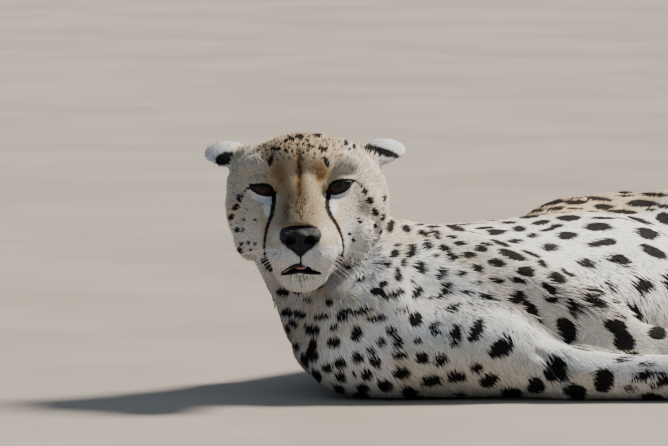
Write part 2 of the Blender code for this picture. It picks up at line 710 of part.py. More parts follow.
def main():
    """Build every piece and centre the animal over the origin."""
    for old in list(bpy.data.objects):
        bpy.data.objects.remove(old)
    set_pieces = {"nose": (nose_leather, "nose"), "tongue": (tongue_tip, "tongue")}
    for name, way in (("left", 1.0), ("right", -1.0)):
        set_pieces["ear_" + name] = (lambda grow=0.0, way=way: ear(way, grow), "coat_pale")
        set_pieces["eye_" + name] = (lambda grow=0.0, way=way: eye_ball(way, grow), "eye")
    rest = largest_body(boolean(whole_animal(), mouth_gap(), "DIFFERENCE"))
    rest = set_in(rest, [shape for shape, _ in set_pieces.values()])
    pieces = {}
    for prefix, stations, parts in (("foreleg_right_", FORELEG_RIGHT, FORELEG_PARTS),
                                    ("foreleg_left_", FORELEG_LEFT, FORELEG_PARTS),
                                    ("hindleg_left_", HINDLEG_LEFT, HINDLEG_PARTS),
                                    ("hindleg_right_", HINDLEG_RIGHT, HINDLEG_PARTS),
                                    ("tail_", TAIL, TAIL_PARTS)):
        found, rest = part_limb(rest, prefix, stations, parts)
        pieces.update(found)
    for name, point, normal in TRUNK_CUTS:
        cutters = [half_space(Vector(point), Vector(normal), extra) for extra in (0.0, CUT)]
        pieces[name], rest = part_off(rest, *cutters)
    pieces["trunk_hips"] = rest
    made = [dress(name, mesh, "coat") for name, mesh in pieces.items()]
    made += [dress(name, shape(), kind) for name, (shape, kind) in set_pieces.items()]
    return centre_over_origin(made)


PLACED_SHIFT = main()
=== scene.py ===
"""A life-size cheetah that lies on its right side and looks over its raised head, dressed in its coat.

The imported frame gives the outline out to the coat's tips. One skin, drawn in from that outline by the
coat's depth, stands for all of the flesh. The markings are worked out once, as values on the skin's own
points, and every tuft of the coat takes them from the place where it is rooted.
"""

import heapq
import logging
import math
from contextlib import contextmanager
from dataclasses import dataclass, field
from enum import Enum
from functools import partial, partialmethod
from typing import Callable, Iterable, Iterator, Optional, Sequence, Union

import bmesh
import bpy
import numpy as np
from bpy.types import Material, Mesh, NodeSocket, Object
from mathutils import Matrix, Vector
from mathutils.bvhtree import BVHTree
from mathutils.kdtree import KDTree


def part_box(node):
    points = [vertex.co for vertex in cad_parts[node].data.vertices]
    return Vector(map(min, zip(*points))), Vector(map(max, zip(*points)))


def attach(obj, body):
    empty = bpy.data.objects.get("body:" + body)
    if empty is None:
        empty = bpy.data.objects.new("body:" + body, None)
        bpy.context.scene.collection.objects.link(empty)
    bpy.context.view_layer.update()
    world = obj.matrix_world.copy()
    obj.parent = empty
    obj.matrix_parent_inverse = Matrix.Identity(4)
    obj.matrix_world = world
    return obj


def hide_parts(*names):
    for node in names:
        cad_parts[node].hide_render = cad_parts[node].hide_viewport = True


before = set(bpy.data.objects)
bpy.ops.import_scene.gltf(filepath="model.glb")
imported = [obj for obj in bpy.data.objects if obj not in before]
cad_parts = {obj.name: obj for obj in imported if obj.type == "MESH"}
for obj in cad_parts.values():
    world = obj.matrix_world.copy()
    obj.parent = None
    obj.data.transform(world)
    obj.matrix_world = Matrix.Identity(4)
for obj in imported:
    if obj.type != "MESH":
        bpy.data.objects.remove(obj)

LOG = logging.getLogger("cheetah")
BAKE_MAP = "OFBake"
BODY = "root"
EYE_SPREAD = 0.0345
EYE_SET_BACK = 0.0148
EYE_RADIUS = 0.0154
FACE_RISE = math.radians(4.5)
FULL_TURN = 2 * math.pi
FLOOR_GAP = 0.0003
FLESH = tuple(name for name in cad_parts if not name.startswith(("eye", "nose", "tongue")))
# The animal's right and left
BOTH = (-1.0, 1.0)
# The values that colour the skin and the coat; the grey one also paints shade down the nose's bridge
TONES = ("cream", "rufous", "dusk", "ash", "spot", "bare")

Array = np.ndarray
Place = tuple[float, float, float]


# ---------------------------------------------------------------- small sums
def ramp(low: float, high: float, values: Array) -> Array:
    """A soft step from 0 at low to 1 at high."""
    share = np.clip((values - low) / (high - low), 0.0, 1.0)
    return share * share * (3.0 - 2.0 * share)


def hill(values: Array, middle: float, reach: float) -> Array:
    """A bell of height 1 round a middle, about nothing beyond twice its reach."""
    return np.exp(-((values - middle) / reach) ** 2)


def blob(across: Array, high: Array, middle: tuple[float, float], reach: tuple[float, float]) -> Array:
    """A bell of height 1 round a point of the face."""
    return hill(across, middle[0], reach[0]) * hill(high, middle[1], reach[1])


def unit(vectors: Array) -> Array:
    """Vectors of length 1 along the given ones."""
    return vectors / np.maximum(np.linalg.norm(vectors, axis=-1, keepdims=True), 1e-9)


def dot(first: Array, second: Array) -> Array:
    """Products of two rows of vectors."""
    return (first * second).sum(axis=1)


def laid(vectors: Array, normals: Array) -> Array:
    """The vectors laid down across the normals, with length 1."""
    return unit(vectors - normals * dot(vectors, normals)[:, None])


def from_line(across: Array, high: Array, points: Sequence[Place]) -> Array:
    """How far inside a drawn line each point lies.

    Args:
        across: first coordinate of the points.
        high: second coordinate of the points.
        points: the line's corners, each with the line's half width there.

    Returns:
        Half width less distance, so positive inside the line.
    """
    best = np.full(across.shape, -1e3)
    for (x0, y0, w0), (x1, y1, w1) in zip(points, points[1:]):
        length = max((x1 - x0) ** 2 + (y1 - y0) ** 2, 1e-12)
        share = np.clip(((across - x0) * (x1 - x0) + (high - y0) * (y1 - y0)) / length, 0.0, 1.0)
        gap = np.hypot(across - x0 - share * (x1 - x0), high - y0 - share * (y1 - y0))
        best = np.maximum(best, w0 + (w1 - w0) * share - gap)
    return best


# ---------------------------------------------------------------- the head's own frame
@dataclass(frozen=True)
class HeadFrame:
    """Side (to the animal's left), forward and up axes, from the middle of the eyes' fronts."""

    origin: Array
    axes: Array

    @classmethod
    def of_eyes(cls, yaw: float = math.radians(1.0), roll: float = math.radians(1.5),
                set_back: float = EYE_SET_BACK) -> "HeadFrame":
        """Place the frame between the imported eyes."""
        turn = Matrix.Rotation(-yaw, 3, "Z")
        forward = turn @ Vector((0.0, -1.0, 0.0))
        side = Matrix.Rotation(roll, 3, forward) @ (turn @ Vector((1.0, 0.0, 0.0)))
        up = forward.cross(side)
        ends = [sum(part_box(name), Vector()) / 2 for name in ("eye_left", "eye_right")]
        middle = (ends[0] + ends[1]) / 2 + forward * set_back
        return cls(np.array(middle), np.array((side, forward, up)))

    def at(self, side: float, forward: float, up: float) -> Vector:
        """A world point from its place on the head."""
        return Vector(self.origin + np.array((side, forward, up)) @ self.axes)

    def coords(self, points: Array) -> Array:
        """Places on the head of many world points."""
        return (points - self.origin) @ self.axes.T

    def world(self, coords: Array) -> Array:
        """World points from many places on the head."""
        return self.origin + coords @ self.axes

    def face_map(self, points: Array) -> tuple[Array, Array, Array]:
        """Side, forward and height drawn square to a gaze that rises a little."""
        side, forward, up = self.coords(points).T
        return side, forward, self.drawn(forward, up)

    @staticmethod
    def drawn(forward: Array, up: Array) -> Array:
        """Height on the face's map."""
        return up * math.cos(FACE_RISE) - forward * math.sin(FACE_RISE)

    @staticmethod
    def lifted(forward: float, drawn: float) -> float:
        """Height on the head of a place on the face's map."""
        return (drawn + forward * math.sin(FACE_RISE)) / math.cos(FACE_RISE)

    def vectors(self) -> tuple[Vector, Vector, Vector]:
        """The three axes as vectors."""
        return tuple(Vector(axis) for axis in self.axes)


# ---------------------------------------------------------------- meshes
def new_mesh(name: str, points: Sequence, faces: Sequence, edges: Sequence = (), **values: Sequence) -> Mesh:
    """A mesh that keeps a number or a vector for each point under each of the given names."""
    made = bpy.data.meshes.new(name)
    made.from_pydata(points, edges, faces)
    for key, value in values.items():
        numbers = np.asarray(value, dtype=np.float32)
        kind, slot = ("FLOAT", "value") if numbers.ndim == 1 else ("FLOAT_VECTOR", "vector")
        made.attributes.new(key, kind, "POINT").data.foreach_set(slot, numbers.ravel())
    return made


def point_places(mesh: Mesh) -> Array:
    """The places of a mesh's points."""
    points = np.empty(len(mesh.vertices) * 3)
    mesh.vertices.foreach_get("co", points)
    return points.reshape(-1, 3)


@contextmanager
def opened(mesh: Mesh) -> Iterator[bmesh.types.BMesh]:
    """Open a mesh for changes, and write them back at the end."""
    bm = bmesh.new()
    bm.from_mesh(mesh)
    yield bm
    bm.to_mesh(mesh)
    bm.free()


def point_tree(points: Array) -> KDTree:
    """A search tree for the nearest of many points."""
    tree = KDTree(len(points))
    for index, point in enumerate(points):
        tree.insert(point, index)
    tree.balance()
    return tree


def strip(mesh: Mesh, names: Iterable[str]) -> None:
    """Remove the named values from a mesh."""
    for name in names:
        if name in mesh.attributes:
            mesh.attributes.remove(mesh.attributes[name])


def face_outwards(mesh: Mesh) -> None:
    """Turn the faces of a closed mesh outwards."""
    with opened(mesh) as bm:
        bmesh.ops.recalc_face_normals(bm, faces=bm.faces)


@dataclass
class Surface:
    """Triangles held as arrays, with values kept for each point."""

    points: Array
    faces: Array
    values: dict[str, Array] = field(default_factory=dict)
    corner_map: Optional[Array] = None

    @classmethod
    def of(cls, mesh: Mesh) -> "Surface":
        """Read the triangles of a mesh."""
        mesh.calc_loop_triangles()
        faces = np.empty(len(mesh.loop_triangles) * 3, dtype=np.int32)
        mesh.loop_triangles.foreach_get("vertices", faces)
        return cls(point_places(mesh), faces.reshape(-1, 3))

    def face_normals(self) -> Array:
        """Normals of the faces, as long as twice their areas."""
        a, b, c = (self.points[self.faces[:, corner]] for corner in range(3))
        return np.cross(b - a, c - a)

    def gather(self, per_face: Array) -> Array:
        """Sum vectors of faces on their points."""
        total = np.zeros((len(self.points), 3))
        for axis in range(3):
            for corner in range(3):
                total[:, axis] += np.bincount(self.faces[:, corner], per_face[:, axis], len(self.points))
        return total

    def normals(self) -> Array:
        """Unit normals at the points."""
        return unit(self.gather(self.face_normals()))

    def edges(self) -> Array:
        """Every edge once, as pairs of points."""
        return np.unique(self.sides(), axis=0)

    def sides(self) -> Array:
        """The sides of every triangle, as sorted pairs of points."""
        pairs = np.concatenate([self.faces[:, [0, 1]], self.faces[:, [1, 2]], self.faces[:, [2, 0]]])
        pairs.sort(axis=1)
        return pairs

    def soften(self, values: Array, rounds: int, share: float = 0.5) -> Array:
        """Spread values along the edges.

        Args:
            values: one number or one vector for each point.
            rounds: how many times each point moves towards its neighbours' mean.
            share: how far it moves each time.

        Returns:
            The spread values.
        """
        first, second = self.edges().T
        count = np.bincount(np.concatenate((first, second)), minlength=len(self.points))
        columns = [values] if values.ndim == 1 else list(values.T)
        spread = []
        for column in columns:
            column = column.astype(float)
            for _ in range(rounds):
                total = (np.bincount(first, column[second], len(column))
                         + np.bincount(second, column[first], len(column)))
                column = column + share * (total / np.maximum(count, 1) - column)
            spread.append(column)
        return spread[0] if values.ndim == 1 else np.stack(spread, axis=1)

    def travel(self, start: int) -> Array:
        """Shortest way along the edges from one point to every other."""
        pairs = self.edges()
        lengths = np.linalg.norm(self.points[pairs[:, 0]] - self.points[pairs[:, 1]], axis=1)
        both = np.concatenate([pairs, pairs[:, ::-1]])
        order = np.argsort(both[:, 0], kind="stable")
        ends = both[order, 1].tolist()
        costs = np.concatenate([lengths, lengths])[order].tolist()
        starts = np.searchsorted(both[order, 0], np.arange(len(self.points) + 1)).tolist()
        best = [math.inf] * len(self.points)
        best[start] = 0.0
        queue = [(0.0, start)]
        while queue:
            far, point = heapq.heappop(queue)
            if far > best[point]:
                continue
            for place in range(starts[point], starts[point + 1]):
                other, reach = ends[place], far + costs[place]
                if reach < best[other]:
                    best[other] = reach
                    heapq.heappush(queue, (reach, other))
        found = np.array(best)
        return np.where(np.isfinite(found), found, found[np.isfinite(found)].max())

    def slope(self, values: Array) -> Array:
        """Direction along the surface in which a value grows, at each point."""
        normals = self.face_normals()
        area = np.maximum((normals ** 2).sum(axis=1, keepdims=True), 1e-18)
        total = np.zeros_like(normals)
        for corner in range(3):
            opposite = (self.points[self.faces[:, (corner + 2) % 3]]
                        - self.points[self.faces[:, (corner + 1) % 3]])
            total += np.cross(normals, opposite) * values[self.faces[:, corner], None]
        return self.gather(total / np.sqrt(area))

    def split(self) -> "Surface":
        """The same surface with every triangle cut into four."""
        edges, numbers = np.unique(self.sides(), axis=0, return_inverse=True)
        ab, bc, ca = numbers.reshape(3, -1) + len(self.points)
        a, b, c = self.faces.T
        quarters = ((a, ab, ca), (ab, b, bc), (ca, bc, c), (ab, bc, ca))
        flat = self.corner_map
        mids = [(flat[:, k] + flat[:, (k + 1) % 3]) / 2 for k in range(3)]
        corners = ((flat[:, 0], mids[0], mids[2]), (mids[0], flat[:, 1], mids[1]),
                   (mids[2], mids[1], flat[:, 2]), mids)

        def with_middles(kept: Array) -> Array:
            """What the points keep, with its means at the edges' middles added."""
            return np.concatenate([kept, (kept[edges[:, 0]] + kept[edges[:, 1]]) / 2])

        def joined(parts: Sequence) -> Array:
            """The corners of all quarters."""
            return np.concatenate([np.stack(quarter, axis=1) for quarter in parts])

        values = {name: with_middles(value) for name, value in self.values.items()}
        return Surface(with_middles(self.points), joined(quarters), values, joined(corners))

    def part(self, chosen: Array) -> "Surface":
        """The chosen faces alone, with their points' values."""
        faces = self.faces[chosen]
        kept, renumbered = np.unique(faces, return_inverse=True)
        values = {name: value[kept] for name, value in self.values.items()}
        corner_map = None if self.corner_map is None else self.corner_map[chosen]
        return Surface(self.points[kept], renumbered.reshape(-1, 3), values, corner_map)

    def mesh(self, name: str, map_name: str = BAKE_MAP) -> Mesh:
        """Make a Blender mesh that carries the values as attributes."""
        made = new_mesh(name, self.points.tolist(), self.faces.tolist(), **self.values)
        if self.corner_map is not None:
            layer = made.uv_layers.new(name=map_name)
            layer.uv.foreach_set("vector", self.corner_map.astype(np.float32).ravel())
        made.update()
        return made

    def tree(self) -> BVHTree:
        """A search tree for rays."""
        return BVHTree.FromPolygons(self.points.tolist(), self.faces.tolist())


# ---------------------------------------------------------------- objects and modifiers
def link(name: str, mesh: Mesh) -> Object:
    """Put a mesh into the scene as an object."""
    made = bpy.data.objects.new(name, mesh)
    bpy.context.scene.collection.objects.link(made)
    return made


def settled(source: Object) -> Mesh:
    """The plain mesh of an object with its modifiers applied."""
    bpy.context.view_layer.update()
    return bpy.data.meshes.new_from_object(source.evaluated_get(bpy.context.evaluated_depsgraph_get()))


def drop(source: Object) -> None:
    """Remove a helper object and its mesh."""
    mesh = source.data
    bpy.data.objects.remove(source)
    bpy.data.meshes.remove(mesh)


def fused(mesh: Mesh, voxel: float, rounds: int) -> Mesh:
    """Fuse overlapping closed volumes into one even, smoothed mesh.

    Args:
        mesh: the volumes.
        voxel: size of the even grid.
        rounds: rounds of smoothing.

    Returns:
        The fused mesh.
    """
    helper = link("fusing", mesh)
    remesh = helper.modifiers.new("fuse", "REMESH")
    remesh.mode = "VOXEL"
    remesh.voxel_size = voxel
    smooth = helper.modifiers.new("soften", "SMOOTH")
    smooth.factor = 0.5
    smooth.iterations = rounds
    result = settled(helper)
    drop(helper)
    return result


@dataclass
class Clay:
    """Gathers closed volumes that overlap and are fused later."""

    bm: bmesh.types.BMesh = field(default_factory=bmesh.new)

    def add_mesh(self, mesh: Mesh) -> None:
        """Add a closed mesh."""
        self.bm.from_mesh(mesh)

    def ball(self, centre: Vector, radii: Sequence[float], axes: Sequence[Vector],
             segments: int = 24) -> None:
        """Add an ellipsoid with its radii along the given axes."""
        turn = Matrix([list(axis) for axis in axes]).transposed().to_4x4()
        matrix = Matrix.Translation(centre) @ turn @ Matrix.Diagonal((*radii, 1.0))
        bmesh.ops.create_uvsphere(self.bm, u_segments=segments, v_segments=segments // 2, radius=1.0,
                                  matrix=matrix)

    def stack(self, rings: Sequence[Sequence[Vector]]) -> None:
        """Join rings of points into a closed body."""
        made = [[self.bm.verts.new(point) for point in ring] for ring in rings]
        for first, second in zip(made, made[1:]):
            for index in range(len(first)):
                after = (index + 1) % len(first)
                self.bm.faces.new((first[index], first[after], second[after], second[index]))
        self.bm.faces.new(made[0][::-1])
        self.bm.faces.new(made[-1])

    def mesh(self) -> Mesh:
        """Finish the volumes as one mesh, with normals outwards."""
        bmesh.ops.recalc_face_normals(self.bm, faces=self.bm.faces)
        made = bpy.data.meshes.new("clay")
        self.bm.to_mesh(made)
        self.bm.free()
        return made


def curved_rows(rows: Sequence[Sequence[float]], steps: int) -> list[Array]:
    """Catmull-Rom rows between the given ones, every number blended alike."""
    known = np.array(rows, dtype=float)
    padded = np.vstack((2 * known[0] - known[1], known, 2 * known[-1] - known[-2]))
    result = []
    for index in range(1, len(padded) - 2):
        before, start, end, after = padded[index - 1:index + 3]
        for step in range(steps):
            t = step / steps
            result.append(0.5 * (2 * start + (end - before) * t
                                 + (2 * before - 5 * start + 4 * end - after) * t ** 2
                                 + (3 * start - before - 3 * end + after) * t ** 3))
    return result + [known[-1]]


def oval(centre: Vector, across: Vector, upward: Vector, half: tuple[float, float], count: int,
         taper: float = 0.0, square: float = 1.0) -> list[Vector]:
    """A ring of points; taper narrows its lower half and square below 1 fills its corners."""
    points = []
    for index in range(count):
        angle = FULL_TURN * index / count
        wide = math.copysign(abs(math.cos(angle)) ** square, math.cos(angle))
        high = math.copysign(abs(math.sin(angle)) ** square, math.sin(angle))
        points.append(centre + across * wide * (1.0 + taper * high) * half[0] + upward * high * half[1])
    return points


# ---------------------------------------------------------------- node trees
Number = Union[float, "Value"]


class Value:
    """A node's output with Python's operators, each of which adds the node it needs."""

    def __init__(self, graph: "Graph", socket: NodeSocket) -> None:
        """Wrap one output socket of a graph."""
        self.graph = graph
        self.socket = socket

    def sum(self, operation: str, *others: Number) -> "Value":
        """Add a Math node on this value and the others."""
        node = self.graph.add("ShaderNodeMath", {"operation": operation}, dict(enumerate((self, *others))))
        return Value(self.graph, node.outputs[0])

    __add__ = __radd__ = partialmethod(sum, "ADD")
    __sub__ = partialmethod(sum, "SUBTRACT")
    __mul__ = __rmul__ = partialmethod(sum, "MULTIPLY")
    __truediv__ = partialmethod(sum, "DIVIDE")

    def __rsub__(self, other: Number) -> "Value":
        """Difference with this value taken away."""
        return (self * -1.0) + other

    def step(self, low: float, high: float) -> "Value":
        """A soft step from 0 at low to 1 at high."""
        node = self.graph.add("ShaderNodeMapRange", {"interpolation_type": "SMOOTHSTEP"},
                              {"Value": self, "From Min": low, "From Max": high})
        return Value(self.graph, node.outputs[0])


@dataclass
class Graph:
    """Adds nodes to one tree."""

    tree: bpy.types.NodeTree

    def add(self, kind: str, settings: Optional[dict] = None,
            inputs: Optional[dict] = None) -> bpy.types.Node:
        """Add one node.

        Args:
            kind: the node's type.
            settings: its own settings, which are set first.
            inputs: values or links of its sockets, by identifier, name or place.

        Returns:
            The new node.
        """
        node = self.tree.nodes.new(kind)
        for key, value in (settings or {}).items():
            setattr(node, key, value)
        for key, value in (inputs or {}).items():
            socket = self.find(node.inputs, key)
            if isinstance(value, Value):
                self.tree.links.new(value.socket, socket)
            elif isinstance(value, NodeSocket):
                self.tree.links.new(value, socket)
            else:
                socket.default_value = value
        return node

    @staticmethod
    def find(sockets: Iterable, key: Union[str, int]) -> NodeSocket:
        """A socket by its place, identifier or name."""
        if isinstance(key, int):
            return sockets[key]
        enabled = [one for one in sockets if one.enabled]
        return next((one for one in enabled if one.identifier == key), None) or next(
            one for one in enabled if one.name == key)

    def value(self, kind: str, settings: Optional[dict] = None, inputs: Optional[dict] = None,
              output: Union[str, int] = 0) -> Value:
        """Add one node and take one of its outputs."""
        node = self.add(kind, settings, inputs)
        return Value(self, self.find(node.outputs, output))

    def place(self) -> Value:
        """The place on the object that is shaded."""
        return self.value("ShaderNodeTexCoord", {}, {}, "Object")

    def read(self, name: str) -> Value:
        """A number that the points of the shaded object carry."""
        return self.value("ShaderNodeAttribute", {"attribute_name": name}, {}, "Fac")

    def noise(self, where: Value, scale: float, detail: float) -> Value:
        """Soft noise from 0 to 1 at a scale given in waves to the metre."""
        return self.value("ShaderNodeTexNoise", {}, {"Vector": where, "Scale": scale, "Detail": detail},
                          "Fac")

    def mixed(self, share: Number, first: Union[tuple, Value], second: Union[tuple, Value],
              blend: str = "MIX") -> Value:
        """A colour between two, or one laid on the other."""
        return self.value("ShaderNodeMix", {"data_type": "RGBA", "blend_type": blend},
                          {"Factor_Float": share, "A_Color": first, "B_Color": second}, "Result_Color")

    def grey(self, value: Value) -> Value:
        """A grey colour from a value."""
        return self.value("ShaderNodeCombineColor", {}, {0: value, 1: value, 2: value})


def new_tree(name: str, sockets: dict[str, str]) -> tuple[Graph, dict[str, str], Sequence[NodeSocket]]:
    """Start a Geometry Nodes tree.

    Args:
        name: the tree's name.
        sockets: name and kind of each input after the geometry.

    Returns:
        Its graph, its inputs' identifiers and the sockets that give them.
    """
    tree = bpy.data.node_groups.new(name, "GeometryNodeTree")
    identifiers = {}
    for socket, kind in {"Geometry": "Geometry", **sockets}.items():
        made = tree.interface.new_socket(socket, in_out="INPUT", socket_type="NodeSocket" + kind)
        identifiers[socket] = made.identifier
    tree.interface.new_socket("Geometry", in_out="OUTPUT", socket_type="NodeSocketGeometry")
    graph = Graph(tree)
    return graph, identifiers, graph.add("NodeGroupInput").outputs


def run_tree(helper: Object, graph: Graph, identifiers: dict[str, str], given: dict, name: str) -> Mesh:
    """Run a tree on a helper object, which is then removed.

    Args:
        helper: the object.
        graph: the tree's graph.
        identifiers: identifier of each of the tree's inputs.
        given: what each input is set to.
        name: name of the mesh that comes out.

    Returns:
        The mesh.
    """
    modifier = helper.modifiers.new("nodes", "NODES")
    modifier.node_group = graph.tree
    for socket, value in given.items():
        modifier[identifiers[socket]] = value
    made = settled(helper)
    made.name = name
    drop(helper)
    return made


def rgb(red: float, green: float, blue: float) -> tuple[float, float, float, float]:
    """A colour given in the usual 0 to 255 steps, as light."""
    shares = [value / 255 for value in (red, green, blue)]
    return (*[s / 12.92 if s <= 0.04045 else ((s + 0.055) / 1.055) ** 2.4 for s in shares], 1.0)


class Finish:
    """A finish: it makes one Principled material."""

    name: str
    roughness: float
    specular: float

    def build(self) -> Material:
        """Make the material."""
        made = bpy.data.materials.new(self.name)
        made.use_nodes = True
        graph = Graph(made.node_tree)
        shader = next(node for node in made.node_tree.nodes if node.type == "BSDF_PRINCIPLED")
        shader.inputs["Roughness"].default_value = self.roughness
        shader.inputs["Specular IOR Level"].default_value = self.specular
        self.dress(graph, shader)
        return made

    def dress(self, graph: Graph, shader: bpy.types.Node) -> None:
        """Link the colour and relief into the shader."""
        raise NotImplementedError

    @staticmethod
    def bump(shader: bpy.types.Node, height: Value, strength: float, distance: float) -> None:
        """Give the surface a fine relief."""
        given = {"Strength": strength, "Distance": distance, "Height": height}
        Finish.lead(height.graph.value("ShaderNodeBump", {}, given), shader, "Normal")

    @staticmethod
    def lead(value: Value, shader: bpy.types.Node, name: str = "Base Color") -> None:
        """Link a value into one of the shader's inputs."""
        value.graph.tree.links.new(value.socket, shader.inputs[name])


@dataclass(frozen=True)
class CoatFinish(Finish):
    """Tan and cream fur with solid dark spots, for the skin and for its tufts alike."""

    name: str = "coat"
    on_tufts: bool = True
    roughness: float = 0.75
    specular: float = 0.05
    tan: tuple = rgb(205, 184, 150)
    cream: tuple = rgb(238, 238, 236)
    rufous: tuple = rgb(140, 100, 62)
    black: tuple = rgb(11, 9, 10)
    bare: tuple = rgb(14, 12, 13)

    def dress(self, graph: Graph, shader: bpy.types.Node) -> None:
        """Colour the fur from the values that its points carry."""
        read, where = graph.read, graph.place()
        fine = graph.noise(where, 420.0, 2.0)
        broad = graph.noise(where, 9.0, 3.0)
        tint = read("tint") if self.on_tufts else graph.noise(where, 900.0, 1.0)
        cream_share = (read("cream") + (fine - 0.5) * 0.2 + (tint - 0.5) * 0.22).step(0.0, 1.0)
        coat = graph.mixed(cream_share, self.tan, self.cream)
        coat = graph.mixed((read("rufous") + (fine - 0.5) * 0.2 + (tint - 0.5) * 0.15).step(0.05, 1.0), coat,
                           self.rufous)
        # The grey value read here darkens the hair: painted shade down the nose's bridge, a greyer tone on
        # head, neck and hips
        light = (0.72 - read("ash") * 0.4) + tint * 0.34 + (broad - 0.5) * 0.22 + (fine - 0.5) * 0.22
        # Painted shade: each tuft darkens towards its root, and the skin under the coat is painted darker,
        # standing for the shade that the tufts cast on it
        light = light * (0.6 + read("tip") * 0.5) if self.on_tufts else light * 0.86
        coat = graph.mixed(1.0, coat, graph.grey(light), "MULTIPLY")
        speckle = (read("dusk") * 1.25 - 0.13 - tint + (fine - 0.5) * 0.3).step(0.0, 0.08)
        coat = graph.mixed(speckle * 0.88, coat, self.black)
        spot = (read("spot") + (fine - 0.5) * 0.2 + (tint - 0.5) * 0.12).step(-0.44, -0.24)
        coat = graph.mixed(spot * 0.985, coat, self.black)
        coat = graph.mixed(read("bare").step(0.3, 0.7), coat, self.bare)
        self.lead(coat, shader)
        if not self.on_tufts:
            self.bump(shader, graph.noise(where, 700.0, 3.0), 0.5, 0.001)


@dataclass(frozen=True)
class NoseFinish(Finish):
    """Black pebbled nose leather, moist in its grain."""

    name: str = "nose_leather"
    roughness: float = 0.45
    specular: float = 0.3

    def dress(self, graph: Graph, shader: bpy.types.Node) -> None:
        """Colour and pebble the leather."""
        where = graph.place()
        patch = graph.noise(where, 160.0, 3.0)
        self.lead(graph.mixed(patch.step(0.35, 0.75), rgb(3, 5, 10), rgb(9, 12, 20)), shader)
        cells = graph.value("ShaderNodeTexVoronoi", {"feature": "DISTANCE_TO_EDGE"},
                            {"Vector": where, "Scale": 900.0}, "Distance")
        self.bump(shader, cells.step(0.0, 0.25), 0.55, 0.0005)
        self.lead(0.36 + patch * 0.22, shader, "Roughness")


@dataclass(frozen=True)
class EyeFinish(Finish):
    """A wet red-brown iris with its pupil and dark limbus."""

    name: str = "eye"
    roughness: float = 0.25
    specular: float = 0.16
    iris: float = 0.0094
    pupil: float = 0.0036

    def dress(self, graph: Graph, shader: bpy.types.Node) -> None:
        """Colour the iris by its distance from the gaze."""
        away, ray = graph.read("away"), graph.read("ray")
        where = graph.value("ShaderNodeCombineXYZ", {}, {0: ray * 9.0, 1: away * 160.0, 2: 0.0})
        streak = graph.noise(where, 5.0, 3.0)
        iris = graph.mixed(streak.step(0.3, 0.75), rgb(34, 14, 12), rgb(70, 30, 22))
        iris = graph.mixed((away / self.iris).step(0.55, 0.98), iris, rgb(16, 8, 8))
        eye = graph.mixed((away / self.pupil + (streak - 0.5) * 0.1).step(0.92, 1.08), rgb(6, 5, 6), iris)
        eye = graph.mixed((away / self.iris).step(0.98, 1.06), eye, rgb(30, 20, 18))
        self.lead(eye, shader)
        shader.inputs["Coat Weight"].default_value = 0.18
        shader.inputs["Coat Roughness"].default_value = 0.02


@dataclass(frozen=True)
class PlainFinish(Finish):
    """A finish of two near shades with a soft grain."""

    name: str
    shade: tuple
    second: tuple
    grain: float
    depth: float
    roughness: float
    specular: float
    share: tuple[float, float] = (0.3, 0.7)

    def dress(self, graph: Graph, shader: bpy.types.Node) -> None:
        """Mix the two shades by noise."""
        patch = graph.noise(graph.place(), self.grain, 3.0)
        self.lead(graph.mixed(patch.step(*self.share), self.shade, self.second), shader)
        self.bump(shader, patch, 0.4, self.depth)


BARE_SKIN = PlainFinish("bare_skin", rgb(12, 10, 11), rgb(32, 27, 27), grain=300.0, depth=0.0005,
                        roughness=0.5, specular=0.22, share=(0.4, 0.8))
TONGUE_SKIN = PlainFinish("tongue", rgb(226, 160, 156), rgb(206, 132, 130), grain=500.0, depth=0.0004,
                          roughness=0.35, specular=0.5)
WHISKER_HAIR = PlainFinish("whisker", rgb(236, 232, 226), rgb(214, 208, 198), grain=60.0, depth=0.0001,
                           roughness=0.45, specular=0.4)
CLAW_HORN = PlainFinish("claw", rgb(58, 50, 46), rgb(96, 86, 78), grain=160.0, depth=0.0002,
                        roughness=0.35, specular=0.5)


def keep(piece: Object, finish: Material, slot: str, *nodes: str) -> Object:
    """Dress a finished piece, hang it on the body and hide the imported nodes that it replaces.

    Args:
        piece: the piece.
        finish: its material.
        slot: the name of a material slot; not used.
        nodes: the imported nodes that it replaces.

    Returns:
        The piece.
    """
    piece.data.materials.clear()
    piece.data.materials.append(finish)
    piece.data.shade_smooth()
    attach(piece, BODY)
    if nodes:
        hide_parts(*nodes)
    LOG.info("%s: %d faces", piece.name, len(piece.data.polygons))
    return piece


